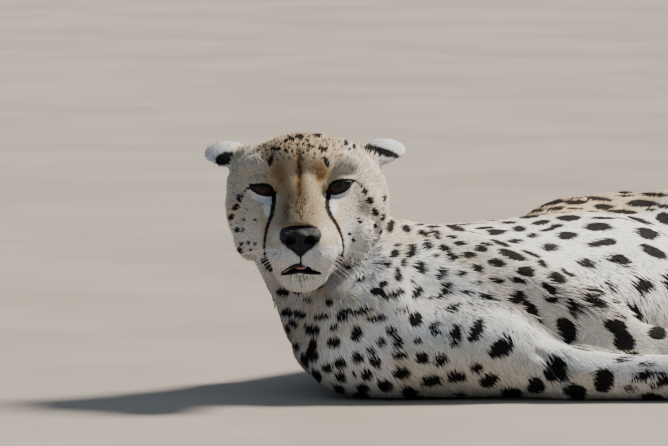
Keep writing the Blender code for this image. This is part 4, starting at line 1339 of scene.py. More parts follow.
# Spots of the side that the front view shows, on its map: across, high, half length and half width in
# millimetres, turn in degrees, and darkness where it is below 1
FRONT_SPOTS = (
    (52, -4, 5.5, 3.2, 80), (67, -6, 4.5, 3.2, -20), (83, -10, 5.2, 2.3, -25), (94, -9, 4.9, 1.9, -25),
    (78, -2, 3.9, 1, 0, 0.9), (91, -2, 5.2, 1.2, 0, 0.9), (111, -5, 7.8, 2.3, -15), (96, -14, 3.9, 1.3, -15),
    (109, -13, 4.5, 1.3, -5), (117, -19, 5.2, 1.9, -5), (86, -21, 4.9, 4.3, 90), (102, -24, 5.5, 3.2, -15),
    (72, -26, 5.8, 4.2, 75), (58, -21, 2.9, 1.6, 30, 0.9), (55, -29, 4.9, 3.2, 30), (108, -32, 4.2, 3.9, 0),
    (125, -30, 5.5, 2.9, -5), (94, -31, 2.6, 2.3, 0, 0.4), (47, -38, 4.3, 4.2, 0), (64, -37, 3.9, 2.6, 90),
    (59, -48, 6.2, 3.2, -75), (80, -41, 5.8, 4.9, 75), (118, -39, 2.9, 1.9, 0, 0.4), (99, -47, 5.5, 4.5, 75),
    (117, -47, 4.2, 2.3, 5), (133, -42, 5.2, 3, -10), (106, -58, 5.5, 2.6, 20), (45, -57, 4.2, 2.3, 25, 0.9),
    (77, -64, 5.7, 5.2, 40), (77, -70, 4.2, 1.9, 10), (59, -65, 4.9, 2.9, 25), (49, -68, 4.5, 1.8, 15, 0.9),
    (40, -64, 5.8, 2.9, -5, 0.7), (103, -65, 4.9, 2.6, 5), (122, -64, 6.2, 2.3, 0),
    (72, -53, 2.6, 1.9, 90, 0.4), (96, -71, 7.8, 0.9, 8, 0.8), (63, -81, 6.2, 1.8, 15, 0.9),
    (111, -79, 7.1, 2.9, 35, 0.9), (26, -82, 9.1, 2.3, 18, 0.9), (9, -89, 5.8, 1.6, 12, 0.8),
    (9, -83, 6.5, 2.6, 15, 0.7), (40, -88, 7.8, 2.9, 8), (-11, -87, 6.2, 2.6, 8),
    (-43, -83, 4.5, 3.6, 0, 0.9), (-31, -85, 5.8, 2.9, -10, 0.8), (-37, -93, 4.5, 2.9, -30, 0.9),
    (-47, -64, 5.2, 3.9, -20, 0.9), (-24, -71, 3.9, 1.9, -10, 0.9), (-4, -74, 2.9, 2.6, 0, 0.6),
    (-20, -99, 6.8, 4.2, -10), (0, -97, 3.9, 2.3, 45, 0.9), (76, -90, 6.5, 5.5, 60),
    (21, -103, 6.5, 4.9, 65), (94, -98, 7.8, 3.2, 85), (113, -106, 10.4, 4.9, 88), (132, -100, 11, 4.9, 68),
    (54, -101, 4.4, 3.1, 20), (44, -111, 4.7, 2.9, 25), (59, -111, 4.9, 3.9, 30), (0, -111, 5.5, 4.5, 0),
    (-19, -113, 4.5, 3.6, 80, 0.7), (78, -109, 2.9, 2.6, 0, 0.5), (35, -119, 3.1, 2.6, 30),
    (-20, -122, 5.8, 4.5, -30), (-34, -114, 3.9, 2.3, -70, 0.7), (-42, -98, 3.2, 1.6, -70, 0.8),
    (-39, -118, 5.2, 2.9, -60, 0.9), (-27, -126, 5.2, 2.6, -70, 0.9), (22, -125, 4.9, 4.7, 0),
    (38, -128, 4.9, 4.4, 0), (61, -123, 6, 3.2, 5), (82, -126, 5.5, 4.9, 0), (99, -127, 6.2, 5.5, 45),
    (6, -130, 5.2, 4.5, -30), (-6, -134, 4.2, 3.6, -20), (-16, -140, 4.9, 3.6, -45),
    (6, -142, 5.2, 4.2, -25), (19, -140, 2.3, 1.9, 0, 0.5), (30, -140, 5.5, 4.4, -10),
    (62, -139, 7.5, 5.2, -5), (91, -147, 7.1, 6.2, 0), (114, -143, 7.3, 5.5, 0), (132, -135, 4.9, 4.4, 60),
    (4, -153, 5.5, 2.9, -25), (26, -152, 5.8, 3.2, -20), (47, -150, 6, 5.5, -30), (2, -159, 5.8, 2.9, -30),
    (24, -159, 6.2, 3.2, -5), (46, -162, 4.7, 3.2, -10), (69, -157, 6.8, 4.7, -20), (97, -163, 8.3, 3.6, -5),
    (116, -158, 3.9, 2.3, 0, 0.7), (21, -167, 5.8, 1.9, -5), (42, -167, 5.2, 1.6, 0),
    (74, -167, 6.5, 1.3, 0), (133, -162, 8.1, 3.1, -5), (-23, -141, 5.2, 1.9, -60, 0.9),
    (136, -24, 5.2, 2.7, -5), (142, -20, 6.1, 1.1, -12), (153, -19, 8.1, 1.6, -22),
    (165, -30, 10.9, 3.4, -20), (151, -37, 7.1, 3.8, -8), (182, -29, 8.1, 1.6, -18, 0.9),
    (193, -38, 5.4, 2.4, -30), (178, -45, 7.9, 3.7, -10), (207, -51, 7.9, 4.1, -32),
    (218, -47, 8.1, 2.4, -32, 0.8), (151, -53, 5.7, 2.3, -8), (172, -54, 6.1, 2.4, -12),
    (200, -61, 7.5, 3, -32, 0.85), (132, -56, 7.5, 1.6, 0, 0.45), (142, -70, 6.8, 2.7, -12, 0.9),
    (170, -69, 6.8, 5.4, 20), (183, -80, 7.9, 4.3, -50), (189, -89, 5.4, 2, -60, 0.7),
    (203, -72, 5.4, 3, -8), (223, -79, 6.1, 5.7, -20, 0.8), (241, -64, 6.5, 3, -30),
    (241, -74, 8.4, 4.1, -32, 0.9), (266, -87, 4.8, 1.6, -20, 0.6), (216, -100, 12.2, 7.9, -65),
    (261, -96, 9.5, 6.1, -10), (269, -110, 10.2, 8.4, -25), (300, -102, 8.4, 5.4, -5),
    (155, -116, 12.5, 7.1, 28), (144, -146, 7.5, 5.7, 20), (165, -158, 8.1, 4.8, -5),
    (206, -137, 10.2, 9.5, 60), (187, -151, 7.5, 7.1, 0), (224, -156, 10.2, 6.1, -20),
    (250, -146, 11.5, 7.9, 68), (288, -142, 7.5, 4.3, 28), (274, -154, 4.1, 3, 0), (294, -152, 4.1, 3, 0),
    (266, -163, 8.1, 3.4, 0), (245, -163, 4.8, 2.7, 0), (295, -161, 8.8, 2.7, -3), (307, -144, 6.1, 3, 88),
    (270, -125, 12.2, 2.2, 18, 0.8), (292, -131, 4.8, 1.6, 20, 0.7), (161, 0, 6.8, 1.2, 0),
    (138, -5, 7.9, 1.2, 4), (180, 5, 7.5, 1.1, 6), (149, -9, 7.9, 2.3, 2, 0.85), (171, -6, 6.2, 2.3, 0),
    (191, 0, 7.1, 1.9, 5), (206, -3, 5.4, 1.8, 5, 0.85), (197, -7, 5.7, 1.4, 8, 0.85), (217, 4, 9.5, 2.4, 3),
    (183, -12, 5.2, 2, 5, 0.9), (167, -17, 7.1, 1.9, 0, 0.8), (215, -12, 8.4, 3.1, -3),
    (244, -4, 10.9, 3.4, -2), (199, -23, 6.8, 3.4, 0, 0.9), (249, 4, 10.2, 1, 0, 0.8),
    (283, 2, 11.5, 1.4, -15, 0.8), (289, -10, 10.6, 4.1, -12), (253, -18, 7.1, 3, -5, 0.85),
    (241, -20, 6.5, 2.7, 0, 0.75), (295, -27, 11.5, 4.3, -25, 0.9), (262, -35, 10.2, 5.2, -12),
    (233, -38, 7.5, 4.3, -20, 0.6), (283, -58, 9.8, 6.1, -10, 0.9), (273, -80, 10.2, 5.2, -35, 0.55),
    (254, -59, 5.4, 2.7, -20, 0.4), (307, -54, 6.8, 4.1, 88, 0.9), (201, 20, 10.2, 1.9, 14),
    (223, 19, 10.6, 1.9, 2), (246, 22, 10.6, 1.6, -3), (265, 28, 8.8, 1.4, 10), (250, 15, 8.4, 2.4, -2),
    (286, 18, 12, 3, -2), (297, 26, 11.1, 1.5, -2), (205, 13, 6.5, 1.6, 8), (188, 11, 7.5, 1.1, 10),
    (223, 13, 8.1, 0.7, 0, 0.9), (238, 10, 5.4, 0.8, -2, 0.8), (267, 10, 11.5, 1.9, -4),
    (293, 12, 4.3, 1.2, 0), (307, 15, 5.2, 1.8, 0), (306, 4, 7.1, 5.4, 0), (269, 32, 8.1, 0.7, 3, 0.9),
    (295, 31, 9.5, 0.7, 0, 0.9), (225, 25, 8.1, 0.5, 5, 0.9), (270, 25, 6.8, 0.8, 0, 0.9),
)
# Small marks of the head on the same map
HEAD_SPOTS = (
    (-54, 68.3, 4.2, 1.4, 6), (-11.1, 68.3, 3.9, 1.6, -6), (-58.5, 57.7, 4.2, 1.9, 78),
    (-7.1, 56.8, 4.4, 1.9, -72), (-44.9, 75, 2.1, 1.2, 10), (-39.1, 77.4, 2.3, 1.2, 5),
    (-31.9, 79.5, 2.9, 1.8, 0), (-24.8, 75.9, 1.8, 1, -5, 0.9), (-21.9, 71.1, 1.8, 1, 0, 0.9),
    (-15.4, 80.4, 3.2, 1.2, 0), (-44.3, 67.2, 1.6, 0.9, 0, 0.8), (11, 73.3, 2.2, 1.6, -60),
    (18.4, 70, 1.9, 1.3, -60), (-88.2, 23.7, 3.1, 1.4, 80), (-91.3, 14.8, 2.9, 2.2, 60),
    (-94.7, 5.7, 2.9, 1.6, 80), (-89.5, -6.6, 1.9, 1.8, 0, 0.9), (-84.4, -6.6, 1.6, 1.2, 90, 0.8),
    (-85.7, -19, 1.7, 1.6, 0, 0.9), (-79.3, -18.6, 1.3, 1.3, 0, 0.7), (-72.8, -19, 1.3, 1.2, 0, 0.7),
    (-80.6, 12.2, 1, 1, 0, 0.6), (-72.8, 2.5, 1.2, 1, 0, 0.6), (-86.5, -24.8, 2.6, 1.7, -60, 0.9),
    (-77.4, -24.8, 1.3, 1, 0, 0.6), (-83.2, 2.9, 1, 1, 0, 0.6), (28.2, 28.2, 2.9, 1.6, -60),
    (33, 20.7, 3.1, 2.3, -50), (37.2, 10.3, 3.4, 2.1, -70), (37.9, -2.7, 2.3, 1.9, 0),
    (43.4, -7.9, 1.8, 1.6, 0, 0.9), (23.9, 0.9, 1.7, 1.4, 0, 0.7), (14.2, -9.9, 1.6, 1.4, 0, 0.7),
    (18.1, -15.7, 1.7, 1.6, 0, 0.6), (31.1, -13.8, 2.1, 1.7, 0, 0.65), (31.9, -19.6, 2.2, 1.9, 0, 0.65),
    (38.9, -27.4, 3.2, 1.6, 15, 0.9), (30.4, -33.9, 2.6, 1.7, 0, 0.7), (22.7, 4.4, 1.2, 1, 0, 0.6),
    (44.3, 5.7, 3.1, 1.3, 80, 0.8), (45.4, 22.6, 2.9, 1.2, 80, 0.7), (6.4, -30.6, 3.6, 0.8, -35),
    (5.1, -33.5, 3.9, 0.8, -35), (3.4, -36.1, 3.6, 0.8, -35), (1.9, -38.7, 2.9, 0.6, -35),
    (-64.4, -34.8, 2.6, 2.2, 0), (-62.7, -38.4, 3.6, 1, -40), (-60.5, -41.8, 3.4, 1, -42),
    (-101.7, 60, 7.8, 4.7, 22), (44.1, 65.7, 13, 3.4, -14), (37.6, 68.7, 5.8, 2.6, -10),
    (-76.7, -37.1, 2.9, 1.8, -30, 0.7), (-80, -36.5, 1.8, 1.8, 0, 0.7), (24.6, -52.7, 3.4, 1.6, 30, 0.6),
    (36.3, -39.1, 2.6, 1, 30, 0.7),
)
# Dark lines of the face, on the face's map: side, height and half width in centimetres
FACE_LINES = (
    ((-2.5, -0.4, 0.14), (-2.5, -0.95, 0.2), (-2.49, -1.49, 0.19), (-2.6, -2.27, 0.17), (-2.86, -2.92, 0.15),
     (-3.12, -3.7, 0.13), (-3.25, -4.48, 0.11), (-3.38, -5.39, 0.09), (-3.29, -6.17, 0.1),
     (-3.12, -6.69, 0.22), (-2.79, -7.4, 0.18)),
    ((2.62, -0.4, 0.16), (2.56, -0.85, 0.2), (2.47, -1.36, 0.2), (2.53, -2.01, 0.18), (2.79, -2.66, 0.17),
     (3.25, -3.38, 0.14), (3.57, -4.09, 0.12), (3.79, -4.87, 0.09), (3.84, -5.78, 0.06), (3.7, -6.25, 0.1)),
    ((-4.45, 0.1, 0.1), (-5.05, 0.16, 0.05)), ((4.7, 0.48, 0.11), (5.15, 0.62, 0.06)),
    ((-5.1, 0.1, 0.03), (-5.55, -0.7, 0.07), (-5.68, -1.1, 0.12)),
    ((5.2, 0.5, 0.03), (5.75, -0.05, 0.07), (6.05, -0.45, 0.13)),
    ((0.0, -6.3, 0.05), (0.02, -7.0, 0.05)))


@dataclass(frozen=True)
class SpotPlan:
    """How the spots of one stretch of the body look."""

    radius: float
    spacing: float
    stretch: float


SPOT_PLANS = {
    "neck": SpotPlan(0.0046, 0.0165, 1.2), "trunk_chest": SpotPlan(0.0062, 0.0225, 1.25),
    "trunk_belly": SpotPlan(0.0085, 0.032, 1.3), "trunk_hips": SpotPlan(0.0088, 0.0315, 1.35),
    "upper": SpotPlan(0.0082, 0.027, 1.3), "lower": SpotPlan(0.0066, 0.0225, 1.3),
    "foot": SpotPlan(0.0028, 0.011, 1.15), "tail": SpotPlan(0.0078, 0.0225, 1.15),
}


@dataclass
class Markings:
    """Every dark mark: the drawn ones of the front view, and scattered ones elsewhere."""

    skin: Skin
    view: FrontView = field(default_factory=FrontView)
    seed: int = 7
    edge: float = 0.0024
    # how far below its place a mark is laid, one after the other, where the view passes the skin there
    lowered: tuple = (0.0, 0.002, 0.004, 0.007, 0.01, 0.013)
    # the most points that are tried for scattered spots and for the crown's dots
    spots_tried: int = 30000
    dots_tried: int = 9000
    tail_ring: float = 0.062
    tail_end: float = 0.03
    ear_patch: float = 0.0165
    drawn: Array = field(init=False)
    spots: dict[str, Array] = field(init=False)
    dots: dict[str, Array] = field(init=False)
    ends: tuple[float, float] = field(init=False)

    def prepare(self) -> None:
        """Find where each mark lies on the skin."""
        skin, values = self.skin, self.skin.surface.values
        tree = skin.surface.tree()
        values["seen"] = self.view.seen(tree, skin.surface.points, values["rise"])
        values["travel"] = skin.travel
        for name in ("head", "ear", "tail"):
            values[f"at_{name}"] = skin.near[name]
        rows, centres = [], []
        for across, high, long, wide, turn, *dark in FRONT_SPOTS + HEAD_SPOTS:
            for lower in self.lowered:
                place = across / 1000, high / 1000 - lower
                found = self.view.hit(tree, *place)
                if found is not None:
                    rows.append((*place, long / 1000, wide / 1000, math.radians(turn), dark[0] if dark else 1,
                                 self.view.drawn(found[None])[2][0]))
                    centres.append(found)
                    break
        self.drawn = np.array(rows)
        tip = skin.travel[skin.near["tail_tip"] > 0.5]
        self.ends = float(np.percentile(tip, 15)), float(tip.max())
        self.spots = self.scattered(np.array(centres))
        self.dots = self.crown_dots()

    def pick(self, allowed: Array, spacing: Array, taken: Array, most: int) -> Array:
        """Pick points so that no two come closer than their spacing.

        Args:
            allowed: which points may be picked.
            spacing: the room that each point needs.
            taken: places that are already marked.
            most: how many points are tried.

        Returns:
            The picked points' numbers.
        """
        points = self.skin.surface.points
        order = np.random.default_rng(self.seed).permutation(np.nonzero(allowed)[0])[:most]
        cell = float(spacing[allowed].max())
        grid: dict[tuple[int, ...], list[Array]] = {}
        for place in taken:
            grid.setdefault(tuple(int(value // cell) for value in place), []).append(place)
        picked = []
        for index in order:
            place = points[index]
            key = tuple(int(value // cell) for value in place)
            around = [other for dx in (-1, 0, 1) for dy in (-1, 0, 1) for dz in (-1, 0, 1)
                      for other in grid.get((key[0] + dx, key[1] + dy, key[2] + dz), ())]
            if around and ((np.array(around) - place) ** 2).sum(axis=1).min() < spacing[index] ** 2:
                continue
            grid.setdefault(key, []).append(place)
            picked.append(int(index))
        return np.array(picked)

    def gathered(self, picked: Array, radius: Array, stretch: Array, turn: float) -> dict:
        """The picked spots with their axes, sizes and wobble."""
        surface = self.skin.surface
        rng = np.random.default_rng(self.seed + len(picked))
        rise, lie = surface.values["rise"][picked], surface.values["lie"][picked]
        beside = np.cross(rise, lie)
        angle = rng.uniform(-turn, turn, len(picked))[:, None]
        return {"middle": surface.points[picked], "rise": rise,
                "ahead": lie * np.cos(angle) + beside * np.sin(angle),
                "beside": beside * np.cos(angle) - lie * np.sin(angle),
                "radius": radius[picked] * rng.uniform(0.75, 1.2, len(picked)),
                "stretch": stretch[picked] * rng.uniform(0.85, 1.2, len(picked)),
                "phase": rng.uniform(0.0, 6.28, (len(picked), 2))}

    def scattered(self, taken: Array) -> dict:
        """Spots where the front view does not reach."""
        skin, near = self.skin, self.skin.near
        total = sum(near[name] for name in SPOT_PLANS) + 1e-3
        radius, spacing, stretch = (
            sum(near[name] * getattr(plan, size) for name, plan in SPOT_PLANS.items()) / total
            for size in ("radius", "spacing", "stretch"))
        nape = (near["head"] > 0.5) & (skin.head.coords(skin.surface.points)[:, 1] < -0.085)
        radius, spacing = np.where(nape, 0.0032, radius), np.where(nape, 0.0115, spacing)
        allowed = ((near["head"] + near["ear"] < 0.5) | nape) & (skin.surface.values["seen"] < 0.3)
        allowed &= (near["tail"] < 0.5) | (skin.travel < self.ends[0])
        picked = self.pick(allowed, np.maximum(spacing, 0.009), taken, self.spots_tried)
        return self.gathered(picked, np.maximum(radius, 0.0025), np.maximum(stretch, 1.0), 0.7)

    def crown_dots(self) -> dict:
        """Close dots on the crown."""
        skin = self.skin
        points = skin.surface.points
        side, _, up = skin.head.coords(points).T
        drawn = skin.head.face_map(points)[2]
        crown = ((skin.near["head"] > 0.5) & (drawn > 0.026 + 0.1 * np.maximum(np.abs(side) - 0.03, 0.0))
                 & (np.abs(side) < 0.06) & (up > 0.012))
        even = np.ones(len(points))
        picked = self.pick(crown, even * 0.0052, np.zeros((0, 3)), self.dots_tried)
        return self.gathered(picked, even * (0.0009 + 0.0005 * ramp(0.03, 0.042, drawn)), even * 1.5, 0.9)

    def near_spots(self, points: Array, spots: dict, count: int = 3) -> Array:
        """How far inside the nearest spots the points lie."""
        tree = point_tree(spots["middle"])
        found = np.array([[hit[1] for hit in tree.find_n(point, count)] for point in points])
        best = np.full(len(points), -1.0)
        for column in found.T:
            offset = points - spots["middle"][column]
            radius = spots["radius"][column]
            along = dot(offset, spots["ahead"][column]) / (radius * spots["stretch"][column])
            across = dot(offset, spots["beside"][column]) / radius
            height = dot(offset, spots["rise"][column]) / (radius * 2.2)
            angle = np.arctan2(across, along)
            ring = np.sqrt(along ** 2 + across ** 2 + height ** 2)
            ring *= (1.0 + 0.08 * np.sin(2 * angle + spots["phase"][column, 0])
                     + 0.06 * np.sin(3 * angle + spots["phase"][column, 1]))
            best = np.maximum(best, (1.0 - ring) * radius / np.minimum(self.edge, radius * 0.7))
        return best

    def drawn_marks(self, surface: Surface) -> Array:
        """How far inside the drawn marks the points lie."""
        across, high, depth = self.view.drawn(surface.points)
        facing = surface.values["rise"] @ self.view.axes()[2]
        best = np.full(len(across), -1.0)
        for number, (x, y, long, wide, turn, dark, deep) in enumerate(self.drawn):
            reach = long * 1.5 + 0.002
            chosen = np.nonzero((np.abs(across - x) < reach) & (np.abs(high - y) < reach) & (facing > 0.0)
                                & (np.abs(depth - deep) < 0.035 + long))[0]
            dx, dy = across[chosen] - x, high[chosen] - y
            along = (dx * math.cos(turn) + dy * math.sin(turn)) / long
            beside = (dy * math.cos(turn) - dx * math.sin(turn)) / wide
            angle = np.arctan2(beside, along)
            ring = np.hypot(along, beside) * (1.0 + 0.06 * np.sin(2 * angle + number)
                                              + 0.05 * np.sin(3 * angle + 2.3 * number))
            inside = (1.0 - ring) * wide / min(self.edge, wide * 0.8)
            best[chosen] = np.maximum(best[chosen], np.minimum(inside, dark * 1.2 - 0.7))
        return best

    def face_lines(self, surface: Surface) -> Array:
        """Tear lines and lid edges."""
        side, forward, drawn = self.skin.head.face_map(surface.points)
        values = surface.values
        lines = np.max([from_line(side * 100, drawn * 100, line) for line in FACE_LINES], axis=0) / 0.09
        for _, high, level in self.skin.around_eyes(surface.points):
            width = 0.0018 + 0.0013 * ramp(-0.0005, 0.0015, high)
            lines = np.maximum(lines, (width - level) / 0.0008)
        ahead = values["rise"] @ self.skin.head.axes[1] > -0.2
        front = (values["at_head"] > 0.5) & (forward > -0.07) & ahead
        return np.where(front, lines, -1.0)

    def value(self, surface: Surface) -> Array:
        """How far inside a dark mark each point of a surface lies, from -1 to 1."""
        values = surface.values
        best = np.maximum(self.near_spots(surface.points, self.spots), self.drawn_marks(surface))
        best = np.maximum(best, self.near_spots(surface.points, self.dots) * 0.5 - 0.3)
        if values["at_head"].max() > 0.5:
            best = np.maximum(best, self.face_lines(surface))
        if values["at_tail"].max() > 0.5:
            start, end = self.ends
            bands = np.sin((values["travel"] - end) * FULL_TURN / self.tail_ring + 2.4) * 1.6 - 0.2
            on_tail = values["at_tail"] > 0.5
            best = np.where(on_tail & (values["travel"] > start), bands, best)
            best = np.where(on_tail & (values["travel"] > end - self.tail_end), -1.0, best)
        if values["at_ear"].max() > 0.5:
            for way in BOTH:
                place = np.array(self.skin.head.at(way * 0.06, -0.072, 0.024))
                patch = (1.0 - np.linalg.norm(surface.points - place, axis=1) / self.ear_patch) * 4.0
                above = values["rise"] @ (self.skin.head.axes[2] * 0.8 - self.skin.head.axes[1] * 0.6) > 0.1
                hidden = (values["at_ear"] > 0.3) & (values["seen"] < 0.5) & above
                best = np.where(hidden, np.maximum(best, patch), best)
        return np.clip(best, -1.0, 1.0)


# ---------------------------------------------------------------- tones, lengths and the lie of the coat
# Middle of the trunk from chest to rump: x, y and half its depth from back to belly
TRUNK_AXIS = np.array((
    (-0.3685, -0.4401, 0.098), (-0.3265, -0.3781, 0.132), (-0.2685, -0.2851, 0.14), (-0.2175, -0.2051, 0.136),
    (-0.1745, -0.1321, 0.12), (-0.1465, -0.0521, 0.094), (-0.1115, 0.0179, 0.088), (-0.0595, 0.0779, 0.106),
    (-0.0125, 0.1329, 0.09), (0.0195, 0.1759, 0.052)))
BELLY_WARD = unit(np.array((0.84, -0.54)))
RUMP_WARD = unit(np.array((0.54, 0.84)))
# Length of the short coat on each stretch of the body but the head
SHORT_COAT = {"ear": 0.004, "neck": 0.0082, "trunk_chest": 0.0085, "trunk_belly": 0.009, "trunk_hips": 0.0088,
              "upper": 0.0078, "lower": 0.0062, "foot": 0.0042, "tail": 0.0095}
# Where the coat is long, on the front view's map: across, high, their reach, and how long as a share
LONG_HAIR = (
    (0.262, -0.052, 0.05, 0.03, 0.85), (0.232, -0.07, 0.045, 0.018, 0.7), (0.205, -0.128, 0.014, 0.015, 0.95),
    (0.115, -0.078, 0.05, 0.01, 0.45), (0.165, -0.098, 0.04, 0.008, 0.45), (0.2, -0.055, 0.03, 0.012, 0.45))


@dataclass
class Pelt:
    """Works out the coat's tones, its length and its lie, as values on the skin's points."""

    skin: Skin
    marks: Markings
    hair: dict[str, Array] = field(init=False, default_factory=dict)

    def belly_share(self, points: Array) -> Array:
        """Place between back (-1) and belly (1) on the trunk."""
        across, along = points[:, :2] @ BELLY_WARD, points[:, :2] @ RUMP_WARD
        axis_across, axis_along = TRUNK_AXIS[:, :2] @ BELLY_WARD, TRUNK_AXIS[:, :2] @ RUMP_WARD
        middle = np.interp(along, axis_along, axis_across)
        return (across - middle) / np.interp(along, axis_along, TRUNK_AXIS[:, 2])

    def lengths(self) -> dict[str, Array]:
        """Length of the short coat and of the long hair at each point, in metres."""
        near, points = self.skin.near, self.skin.surface.points
        side, forward, up = self.skin.head.coords(points).T
        face = 0.0038 + 0.0036 * ramp(0.02, -0.05, forward)
        face += 0.0022 * ramp(-0.03, -0.08, up) * ramp(0.03, 0.0, forward)
        face += 0.0018 * ramp(0.05, 0.07, np.abs(side)) * ramp(0.0, -0.03, forward)
        short = sum((near[name] * length for name, length in SHORT_COAT.items()), near["head"] * face)
        belly = self.belly_share(points)
        trunk = near["trunk"]
        short += trunk * ramp(0.25, 0.8, belly) * 0.0035
        share = trunk * ramp(0.8, 1.05, belly) * 0.75
        across, high, _ = self.marks.view.drawn(points)
        for x, y, wide, tall, much in LONG_HAIR:
            share = np.maximum(share, much * blob(across, high, (x, y), (wide, tall)) * (near["head"] < 0.3))
        drawn = self.skin.head.drawn(forward, up)
        jaw = near["head"] * (1.0 - 0.6 * (side < 0.0)) * ramp(0.016, -0.008, forward)
        jaw = jaw * blob(np.abs(side), drawn, (0.06, -0.072), (0.018, 0.034))
        throat = (near["head"] + near["neck"]) * ramp(-0.088, -0.1, drawn) * ramp(0.052, 0.02, forward)
        throat = throat * ramp(-0.12, -0.104, drawn) * 0.35
        locks = np.zeros(len(points))
        for way in BOTH:
            place = np.array(self.skin.head.at(way * 0.066, -0.07, 0.004))
            locks = np.maximum(locks, hill(np.linalg.norm(points - place, axis=1), 0.0, 0.014))
        tip = near["tail_tip"] * 0.9
        share = np.clip(np.max([share, jaw * 0.9, throat, locks * 0.6, tip], axis=0), 0.0, 1.0)
        return {"short": short, "long": 0.0105 + 0.0115 * share, "long_share": ramp(0.25, 0.65, share)}

    def find_lie(self) -> None:
        """Comb the coat away from the nose, along the body."""
        surface, skin = self.skin.surface, self.skin
        normals = unit(surface.soften(surface.normals(), rounds=1))
        lie = laid(surface.soften(surface.slope(skin.travel), rounds=6), normals)
        up = skin.head.coords(surface.points)[:, 2]
        gravity = np.tile(np.array((0.0, 0.0, -1.0)), (len(lie), 1))
        hang = (skin.near["neck"] * 0.35 + skin.near["head"] * ramp(-0.04, -0.08, up) * 0.5
                + self.hair["long_share"] * 0.45)
        lie = laid(lie + gravity * hang[:, None], normals)
        sway = self.sway(surface.points, 30.0, 3) * 0.16 + self.sway(surface.points, 90.0, 5) * 0.12
        lie = laid(lie + np.cross(normals, lie) * sway[:, None], normals)
        surface.values["lie"], surface.values["rise"] = lie, normals

    def sway(self, points: Array, scale: float, seed: int) -> Array:
        """Smooth waves between -1 and 1, from a few sines with seeded directions."""
        rng = np.random.default_rng(seed)
        total = np.zeros(len(points))
        for _ in range(5):
            total += np.sin(points @ (rng.normal(size=3) * scale) + rng.uniform(0.0, 6.28))
        return total / 3.0

    def run(self) -> None:
        """Sink the skin by the coat's depth, sculpt it and write every value on its points."""
        skin = self.skin
        self.hair = self.lengths()
        depth = 0.0006 + self.hair["short"] * 0.16 + self.hair["long_share"] * self.hair["long"] * 0.1
        depth *= 1.0 - 0.6 * skin.near["ear"]
        skin.sink(skin.surface.soften(depth, rounds=6))
        skin.sculpt()
        self.find_lie()
        self.marks.prepare()
        values = skin.surface.values
        values["bare"] = self.bare()
        self.tones()
        values["spot"] = self.marks.value(skin.surface)
        self.growth()

    def bare(self) -> Array:
        """Share of bare dark skin: lid edges, lips and pads."""
        skin = self.skin
        points = skin.surface.points
        side, forward, drawn = skin.head.face_map(points)
        bare = np.zeros(len(points))
        for _, _, level in skin.around_eyes(points):
            bare = np.maximum(bare, ramp(0.0011, 0.0004, level) * ramp(-0.035, -0.02, forward))
        within = skin.mouth.inside(side, drawn)
        bare = np.maximum(bare, ramp(-0.0012, -0.0003, within) * ramp(0.03, 0.04, forward))
        for foot in FEET:
            bare = np.maximum(bare, foot.pad_share(points))
        return bare

    def tones(self) -> None:
        """Shares of cream, rufous, dusky and greyer hair, the last with painted shade on the nose's bridge.
        """
        skin = self.skin
        values, near, points = skin.surface.values, skin.near, skin.surface.points
        rise = values["rise"]
        side, forward, drawn = (value * 100.0 for value in skin.head.face_map(points))
        away, ahead = np.abs(side), rise @ skin.head.axes[1]
        front = ramp(-0.5, 0.2, ahead) * near["head"] * ramp(-7.5, -5.5, forward)
        cream = self.face_cream(away, drawn, front)
        jaw = near["head"] * ramp(-4.0, -8.0, drawn)
        under = ramp(-0.35, 0.45, rise @ unit(np.array((0.25, -0.75, -0.6))))
        throat = near["neck"] * (0.35 + 0.6 * under)
        belly = self.belly_share(points)
        trunk = near["trunk"]
        before = ramp(-0.2, 0.7, rise @ unit(np.array((0.25, -0.95, -0.1))))
        brisket = near["trunk_chest"] * (0.46 + 0.4 * before)
        white_belly = trunk * (0.16 + 0.84 * ramp(-0.2, 0.5, belly))
        inner = near["left"] * ramp(0.2, -0.6, rise[:, 2]) + near["right"] * ramp(-0.2, 0.6, rise[:, 2])
        legs = near["foreleg"] * (0.55 + 0.4 * inner) + near["hindleg"] * (0.36 + 0.55 * inner)
        tail = near["tail"] * (0.3 + 0.5 * ramp(0.1, -0.7, rise[:, 2]))
        last = ramp(self.marks.ends[1] - 0.036, self.marks.ends[1] - 0.02, skin.travel) * near["tail"]
        ruff = (near["head"] + near["neck"]) * blob(away, drawn, (6.0, -8.0), (3.5, 3.5)) * 1.1
        pale = (cream, jaw, ruff, near["ear"] * 0.85, throat, white_belly, brisket, legs, tail, last)
        values["cream"] = np.clip(np.max(pale, axis=0), 0.0, 1.0)
        values["ash"] = self.ash(away, drawn, front)
        face = front * np.max([
            blob(away, drawn, (1.8, 1.45), (1.05, 1.55)) * 0.8,
            blob(away, drawn, (1.7, 0.75), (0.5, 0.5)) * 0.9,
            blob(away, drawn, (1.25, -2.2), (0.5, 1.3)) * 0.55,
            blob(away, drawn, (1.5, -3.2), (0.5, 0.6)) * 0.45,
            hill(away, 0.0, 0.9) * ramp(-3.4, -1.0, drawn) * ramp(3.6, 2.0, drawn) * 0.55,
            hill(side, -0.04, 0.3) * ramp(-2.2, -0.4, drawn) * ramp(3.9, 3.2, drawn) * 1.0,
            blob(away, drawn, (5.5, 0.0), (0.5, 0.5)) * 0.3], axis=0)
        saddle = trunk * ramp(-0.15, -0.85, belly) * 0.55
        values["rufous"] = np.clip(np.max([face, near["head"] * 0.24 * ramp(-3.5, 1.5, drawn), saddle,
                                           near["neck"] * 0.12], axis=0), 0.0, 1.0)
        line = front * hill(side, -0.04, 0.24) * ramp(-1.5, -0.4, drawn) * ramp(3.9, 3.2, drawn)
        whisker_row = hill(drawn, -6.05 + 0.15 * np.sin(side * 5), 0.1)
